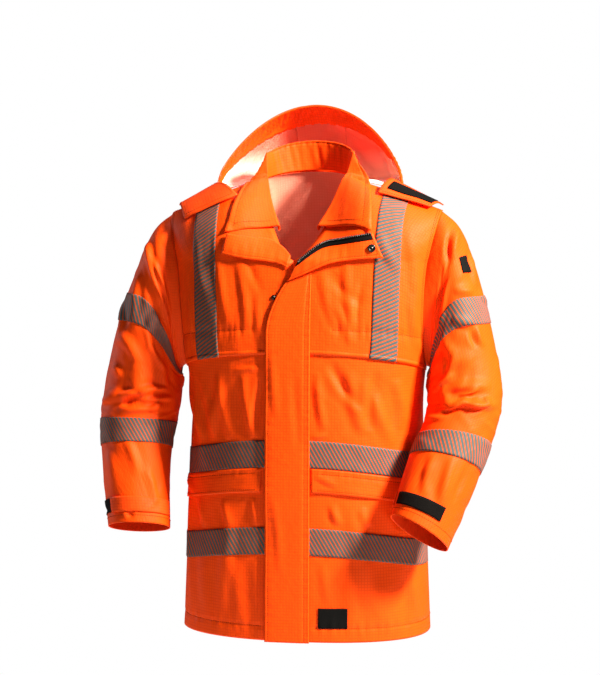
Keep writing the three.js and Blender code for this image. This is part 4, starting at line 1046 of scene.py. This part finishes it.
def lapelRelief(u, v, points, mm):
    folded = 0.9 * np.sin(points[..., 0] / 27) * (1 - v) ** 1.4 + pucker((v - 0.3) * 40, points[..., 0], 9,
        12, 17, 0.25)
    return folded + sewn((v - lapelSeam) * 42, 2.2, 0.9)


lapelLeft = surface(lapelAt(leftLapel), spaced(0, 1, 3, 172), stripRows, lapelRelief)
wallMesh("lapel_left", lapelLeft, 0, doubledWall, bothSides, (0.17, 0.042))
lapelRight = surface(lapelAt(rightLapel), spaced(0, 0.94, 3, 130), stripRows, lapelRelief)
wallMesh("lapel_right", lapelRight, 0, doubledWall, bothSides, (0.14, 0.04))

for side, lapel in (("left", lapelLeft), ("right", lapelRight)):
    ends = (0.03, 0.97) if side == "left" else (0.03, 0.9)
    low = seamOn(lapel, mix(lapel["us"][0], lapel["us"][-1], np.linspace(*ends, 50)), lapelSeam,
        doubledWall + threadUp)
    outer = 0.035 if side == "right" else 0.965
    edge = seamOn(lapel, mix(lapel["us"][0], lapel["us"][-1], outer), np.linspace(lapelSeam, 0.95, 14),
        doubledWall + threadUp)
    stitches("lapel_stitches_" + side, [low, edge])
zipSurf = laid(lapelLeft, lambda u, v: (u, v), spaced(0.02, 0.98, 3, 160), np.linspace(0.74, 1.0, 6),
    doubledWall + 0.3)
wallMesh("zip_tape", zipSurf, 0, tapeShown, [zipWeave, zipWeave], (0.17, 0.012),
    standsFor="zip_tape_left")


def smallSolid(name, verts, faces, material, replaced=()):
    mesh = bpy.data.meshes.new(name)
    mesh.from_pydata([[float(c) / 1000 for c in v] for v in verts], [], faces)
    layer = mesh.uv_layers.new(name="cloth")
    for polygon in mesh.polygons:
        polygon.use_smooth = len(polygon.vertices) < 5
        for loop in polygon.loop_indices:
            place = mesh.vertices[mesh.loops[loop].vertex_index].co
            layer.data[loop].uv = (place.x * 1000, place.z * 1000)
    mesh.materials.append(material)
    return linked(name, mesh, replaced)


# Zip teeth: moulded lugs on the tape's upper edge.
teethSet = {"pitch": 3.6, "size": (2.4, 4.6, 2.2)}
marks = np.linspace(0.04, 0.97, int(165 / teethSet["pitch"]))
toothAt, toothUp = sample(lapelLeft, marks, np.full(marks.shape, 0.97))
verts, faces = [], []
for k in range(len(marks)):
    ahead = toothAt[min(k + 1, len(marks) - 1)] - toothAt[max(k - 1, 0)]
    ahead = ahead / np.linalg.norm(ahead)
    up = toothUp[k] / np.linalg.norm(toothUp[k])
    side = np.cross(up, ahead)
    middle = toothAt[k] + up * (doubledWall + 1.9)
    first = len(verts)
    for dz in (-0.5, 0.5):
        for dx, dy in ((-0.5, -0.5), (0.5, -0.5), (0.36, 0.5), (-0.36, 0.5)):
            verts.append(middle + ahead * dx * teethSet["size"][0] + side * dy * teethSet["size"][1] + up
                * dz * teethSet["size"][2])
    faces += [tuple(first + i for i in quad) for quad in ((3, 2, 1, 0), (4, 5, 6, 7), (0, 1, 5, 4),
        (1, 2, 6, 5), (2, 3, 7, 6), (3, 0, 4, 7))]
smallSolid("zip_teeth", verts, faces, acetal)


# A round piece turned about a direction.
def turned(name, at, direction, profile, material, replaced):
    axis = np.array(direction, float) / np.linalg.norm(direction)
    side = np.cross(axis, (0, 0, 1.0))
    side /= np.linalg.norm(side)
    other = np.cross(axis, side)
    sides = 32
    verts, faces = [], []
    for radius, height in profile:
        for k in range(sides):
            turn = 2 * math.pi * k / sides
            verts.append(np.array(at) + axis * height + (side * math.cos(turn) + other * math.sin(turn))
                * radius)
    for ring in range(len(profile) - 1):
        for k in range(sides):
            a, b = ring * sides + k, ring * sides + (k + 1) % sides
            faces.append((a, b, b + sides, a + sides))
    faces.append(tuple(range(sides))[::-1])
    faces.append(tuple((len(profile) - 1) * sides + k for k in range(sides)))
    return smallSolid(name, verts, faces, material, replaced)


capAt = lapelAt(leftLapel, doubledWall + 1.05)(np.array(0.93), np.array(0.42))
turned("stud_cap_ring", capAt, (0.3, -1, 0.1), [(7.2, 0.1), (7.4, 0.9), (7.2, 1.9), (6.4, 2.4), (5.2, 2.4),
    (4.5, 1.9), (4.3, 1.0), (2.6, 0.9), (2.2, 1.4), (0.4, 1.5)], enamel, ["stud_cap"])
postZ = -196
postX = float(stormPlace(np.array(0.0), np.array((postZ - hemZ) / (storm["topFreeZ"] - hemZ)))[0]) - 6
postAt = np.array([postX, float(chestY(np.array(postX), np.array(float(postZ)))) - yokeOut - 0.35, postZ])
turned("stud_post_ring", postAt, (-0.05, -1, 0.08),
    [(4.5, 0), (4.6, 0.6), (4.2, 1.2), (2.6, 1.5), (2.2, 2.4), (1.6, 2.9), (0.3, 3.0)], enamel,
    ["stud_post"])
print("flap and lapels done")

# Collar.
collarSet = {"cut": (0.64, 0.10), "area": 0.046}
collarSeam = 0.93  # share of its height at the row of stitches


def collarRelief(t, s, points, mm):
    back = 1 - smooth(np.abs(t), 0.42, 0.6)
    stand = pucker(np.zeros(s.shape), mm[..., 0] + s * 9, 3, 10, 19,
        0.55) * back * np.sin(np.pi * np.clip(s, 0, 1)) ** 0.5
    wing = smooth(np.abs(t), 0.5, 0.75)
    soft = scattered(mm[..., 0], mm[..., 1], 31, 30, (-300, 300, 0, 130), (30, 80), (80, 40), (5, 9),
        (0.4, 1.4))
    seam = (s - collarSeam) * 80
    edge = sewn(seam, 2.6, 1.2) + pucker(seam, mm[..., 0], 8, 9, 11, 0.45)
    return stand + soft * wing * smooth(s, 0.3, 0.6) + edge


collarCols, collarRows = spaced(-1, 1, 3.2, 640), np.linspace(0, 1, 38)
collarSurf = surface(collarPoint, collarCols, collarRows, collarRelief, originColumn=100)
wallMesh("collar", collarSurf, -doubledWall / 2, doubledWall / 2, bothSides,
    collarSet["cut"])

rim = seamOn(collarSurf, np.linspace(-0.985, 0.985, 200), collarSeam, doubledWall / 2 + threadUp)
wingEnds = [seamOn(collarSurf, sign * 0.975, np.linspace(0.45, collarSeam, 20), doubledWall / 2 + threadUp)
    for sign in (-1, 1)]
stitches("collar_stitches", [rim] + wingEnds)

# Hood: three panels, the band inside its rim and two tabs on the shoulders.
hoodSet = {"sideCut": (0.26, 0.30), "sideArea": 0.039, "centreCut": (0.11, 0.24), "bandCut": (0.62, 0.05)}
hoodRound, hoodLong = 330, 300  # mm for one unit of t and of v


def hoodRelief(t, v, points, mm):
    away = np.clip((1 - v) * 8, 0, 1) * np.clip(np.abs(np.abs(t) - 0.181) * 14, 0, 1)
    a, b = t * hoodRound, v * hoodLong
    rim = pucker(b - 20, a + v * 150, 12, 26, 14, 0.8) * np.clip(v * 30, 0, 1)
    folds = crease(a, b, [(140, 60, 230, 130, 12, 3.5, 6), (170, 40, 260, 90, 9, -3, 4),
        (-150, 70, -240, 140, 12, 3, -6), (-60, 180, 60, 190, 14, 3, 10), (-200, 150, -120, 240, 12, 3, 5),
        (110, 170, 190, 250, 12, 3, -5)])
    return (folds + scattered(a, b, 51, 60, (-330, 330, 30, 290), (40, 110), (60, 50), (6, 12),
        (0.5, 2.2))) * away + rim


hoodAll = surface(hoodPoint, spaced(-1, 1, 3.6, 620), spaced(0, 1, 4.2, 300), hoodRelief, originColumn=86)
for part, low, high in (("side_right", -1, -0.18), ("centre", -0.18, 0.18), ("side_left", 0.18, 1)):
    us = spaced(low, high, 3.6, 310 * (high - low))
    panel = laid(hoodAll, lambda u, v: (u, v), us, hoodAll["vs"], 0.0, originColumn=len(us) // 2, flip=True,
        straight=False)
    cut, area = (hoodSet["centreCut"], None) if part == "centre" else (hoodSet["sideCut"],
        hoodSet["sideArea"])
    wallMesh("hood_" + part, panel, -shellWall / 2, shellWall / 2, [hoodRipstop, hoodLiningPaintedThroughLight],
        cut)


def bandRelief(t, v, points, mm):
    slant = t * hoodRound + v * 110
    ripple = pucker(np.zeros(v.shape), slant, 77, 10, 12, 1.3) + pucker(np.zeros(v.shape), slant, 78, 10, 7,
        0.6)
    return -np.abs(ripple) * np.sin(np.pi * v) ** 0.5


hoodBand = laid(hoodAll,
    lambda u, v: (u, mix(0.0, hood["band"], v) + 0.004 * np.sin(u * 83) * v + 0.003 * np.sin(u * 191) * v),
    spaced(-0.992, 0.992, 2.6, 600), stripRows, -1.2, bandRelief)
wallMesh("hood_band", hoodBand, -1.3, 0, [hoodRipstop, orangeRipstop], hoodSet["bandCut"])


def tabAt(tab):
    def at(u, v):
        corners = {name: np.array(value, float) for name, value in tab.items()}
        value = mix(mix(corners["frontInner"], corners["frontOuter"], u[..., None]),
            mix(corners["backInner"], corners["backOuter"], u[..., None]), v[..., None])
        tilt = np.radians(value[..., 1])
        point = shoulderPoint(value[..., 0], tilt)
        return point + np.stack([np.zeros(tilt.shape), -value[..., 2] * np.sin(tilt),
            value[..., 2] * np.cos(tilt)], -1)
    return at


def tabRelief(u, v, points, mm):
    return 1.4 * np.sin(np.pi * v) + 0.5 * np.sin(mm[..., 0] / 9) * np.exp(-((v - 0.1) / 0.2) ** 2)


for side, tab in (("left", leftTab), ("right", rightTab)):
    at = tabAt(tab) if side == "left" else (lambda u, v: tabAt(rightTab)(-u, v) * np.array([-1, 1, 1]))
    us = np.linspace(0, 1, 36) if side == "left" else np.linspace(-1, 0, 36)
    tabSurf = surface(at, us, np.linspace(0, 1, 24), tabRelief)
    surfaces["tab_" + side] = tabSurf
    low, high = us[0] + 0.04, us[-1] - 0.04
    box = [seamOn(tabSurf, np.linspace(low, high, 24), row, doubledWall + threadUp) for row in (0.07, 0.93)]
    box += [seamOn(tabSurf, column, np.linspace(0.07, 0.93, 18), doubledWall + threadUp)
        for column in (low, high)]
    stitches("tab_stitches_" + side, box)
    wallMesh("hood_tab_" + side, tabSurf, 0, doubledWall, [tabRipstop, tabRipstop],
        (0.115, 0.075))
hookSurf = laid(surfaces["tab_left"], lambda u, v: (u, v), np.linspace(0.12, 0.96, 24),
    np.linspace(0.2, 0.67, 12), doubledWall + 0.3)
wallMesh("hood_hook", hookSurf, 0, 1.5, [hookTape, hookTape], (0.088, 0.032),
    standsFor="hood_hook_left")
print("collar and hood done")

# Sleeves and what is sewn on them.
cuffSeam = 13.52  # ring of a cuff's row of stitches
sleeveSet = {
    "cut": (0.50, 0.66), "area": 0.24, "tapeCut": (0.47, 0.05), "girth": 439.2,
    "left": {"folds": [
        (24, 52, 92, 94, 13, 6, 6), (65, 50, 108, 100, 10, -5, 4), (16, 104, 44, 160, 11, 5, 4),
        (34, 172, -4, 192, 8, 4, 2), (106, 164, 50, 170, 8, 5, 3),
        (123, 120, 150, 200, 10, 5, 5), (118, 206, 66, 220, 8, 6, 4), (67, 222, 58, 258, 8, 5, 3),
        (84, 228, 72, 256, 7, -4, 2), (148, 212, 116, 264, 9, 6, 4),
        (118, 258, 136, 308, 9, 6, 5), (146, 262, 132, 392, 12, 7, 8), (172, 314, 118, 296, 9, 6, 4),
        (108, 376, 58, 388, 8, 7, 5), (110, 354, 78, 336, 9, 6, 4),
        (64, 356, 62, 386, 7, 4, 2), (146, 408, 92, 360, 9, 6, 5), (128, 508, 120, 570, 11, 5, 3),
        (92, 506, 80, 572, 10, 4.5, 3), (52, 498, 56, 560, 10, -4, 3),
        (200, 180, 230, 300, 12, 5, 5), (260, 280, 330, 340, 11, 5, 5), (300, 360, 250, 420, 12, 5, 5),
        (340, 100, 300, 220, 14, 5, 6), (380, 300, 330, 380, 12, 5, 4)]},
    "right": {"folds": [
        (44, 84, 132, 118, 13, 6, 6), (92, 94, 150, 52, 11, 5, 4), (34, 185, 68, 236, 11, 5, 4),
        (122, 214, 160, 160, 9, 7, 4), (126, 214, 138, 246, 8, 5, 2),
        (132, 236, 164, 260, 9, 6, 3), (159, 216, 170, 324, 12, 6, 5), (120, 334, 172, 308, 10, 8, 5),
        (84, 350, 116, 334, 9, 6, 3), (94, 376, 124, 340, 9, -6, 4),
        (130, 358, 186, 331, 10, 7, 5), (143, 388, 160, 354, 8, 5, 2), (58, 292, 86, 310, 9, 5, 3),
        (112, 468, 136, 530, 11, 5, 4), (154, 520, 174, 576, 10, 5, 3),
        (100, 600, 104, 626, 7, 5, 0), (116, 598, 114, 626, 7, -4, 0), (132, 104, 176, 132, 10, 5, 3),
        (60, 250, 110, 280, 12, -5, 5), (70, 130, 96, 210, 14, 5, 6),
        (210, 180, 240, 300, 12, 5, 5), (260, 280, 330, 340, 11, 5, 5), (300, 360, 250, 420, 12, 5, 5),
        (340, 100, 300, 220, 14, 5, 6), (390, 300, 340, 380, 12, 5, 4)]},
}
sleeveParts = {
    "left": [
        ("sleeve_tape_upper_left", 0, 360, 3.9, 4.87, 0.9, bandTape, "reflective_tape"),
        ("sleeve_tape_fore_left", 0, 360, 10.25, 11.2, 0.9, bandTape, "reflective_tape"),
        ("cuff_hook_left", 52, 146, 12.72, 13.28, 1.4, hookTape, "hook_black"),
        ("cuff_tab_left", 158, 262, 12.66, 13.34, 2.0, tabRipstop, "ripstop_orange"),
        ("sleeve_badge_left", 34, 59, 2.45, 3.05, 1.0, wovenBlack, "badge_black")],
    "right": [
        ("sleeve_tape_upper_right", 0, 360, 3.85, 4.85, 0.9, bandTape, "reflective_tape"),
        ("sleeve_tape_fore_right", 0, 360, 9.2, 10.5, 0.9, bandTape, "reflective_tape"),
        ("cuff_hook_right", -22, 48, 12.66, 13.26, 1.4, hookTape, "hook_black"),
        ("cuff_tab_right", 50, 176, 12.62, 13.3, 2.0, tabRipstop, "ripstop_orange")],
}
for side, sign, rings, folds in (("left", 1, leftRings, leftFolds), ("right", -1, rightRings, rightFolds)):
    def sleeveAt(turn, ring):
        return sleevePoint(rings, folds, turn * sign, ring) * np.array([sign, 1, 1])

    def sleeveRelief(turn, ring, points, mm):
        degrees = np.mod(np.degrees(turn * sign), 360)
        a, b = degrees * 1.22, ring * 45
        height = np.zeros(a.shape)
        for shift in (-sleeveSet["girth"], 0, sleeveSet["girth"]):
            height += scattered(a + shift, b, 60 + sign, 90, (0, 439, 60, 610), (40, 120), (20, 40),
                (6, 12), (0.5, 2.2))
            height += crease(a + shift, b, sleeveSet[side]["folds"])
        return height * smooth(ring, 0.1, 1.2) * smooth(14 - ring, 0.1, 0.8)

    turns = np.linspace(0, 2 * np.pi, 121)
    sleeve = surface(sleeveAt, turns, spaced(0.0, 14, 3.8, 640), sleeveRelief, closed=True, flip=True)
    stitches("cuff_stitches_" + side, [seamOn(sleeve, turns, cuffSeam, threadUp)])
    wallMesh("sleeve_" + side, sleeve, -shellWall, 0, [orangeRipstop, sleeveInsideWithPaintedShade],
        sleeveSet["cut"])
    for part, start, stop, firstRing, lastRing, thick, material, slotName in sleeveParts[side]:
        isRing = stop - start == 360
        low, high = sorted((math.radians(start * sign), math.radians(stop * sign)))
        us = turns if isRing else spaced(low, high, 2.6, (high - low) * 68)
        strip = laid(sleeve, lambda u, v: (u, v), us,
            spaced(firstRing, lastRing, 3.4, (lastRing - firstRing) * 45), seatGap, closed=isRing,
            flip=True)
        if isRing:
            cut = sleeveSet["tapeCut"]
        else:
            wide = np.linalg.norm(np.diff(strip["points"], axis=1), axis=-1).sum(1).max() / 1000
            tall = np.linalg.norm(np.diff(strip["points"], axis=0), axis=-1).sum(0).max() / 1000
            cut = (round(float(wide), 3), round(float(tall), 3))
        wallMesh(part, strip, 0, thick, [material, material], cut)


def labelPlace(u, v):
    x, z = mix(50, 103, u), mix(-800, -763, v)
    share = np.arcsin((x / read(bodySections, "z", z, "half")) ** (read(bodySections, "z", z,
        "square") / 2)) / quarter
    return share, (z - hemZ) / (frontTop(share) - hemZ)


labelSurf = laid(surfaces["front_left"], labelPlace, np.linspace(0, 1, 24), np.linspace(0, 1, 16), seatGap)
wallMesh("hem_label", labelSurf, 0, 1.1, [wovenBlack, wovenBlack], (0.054, 0.037))
print("sleeves done")
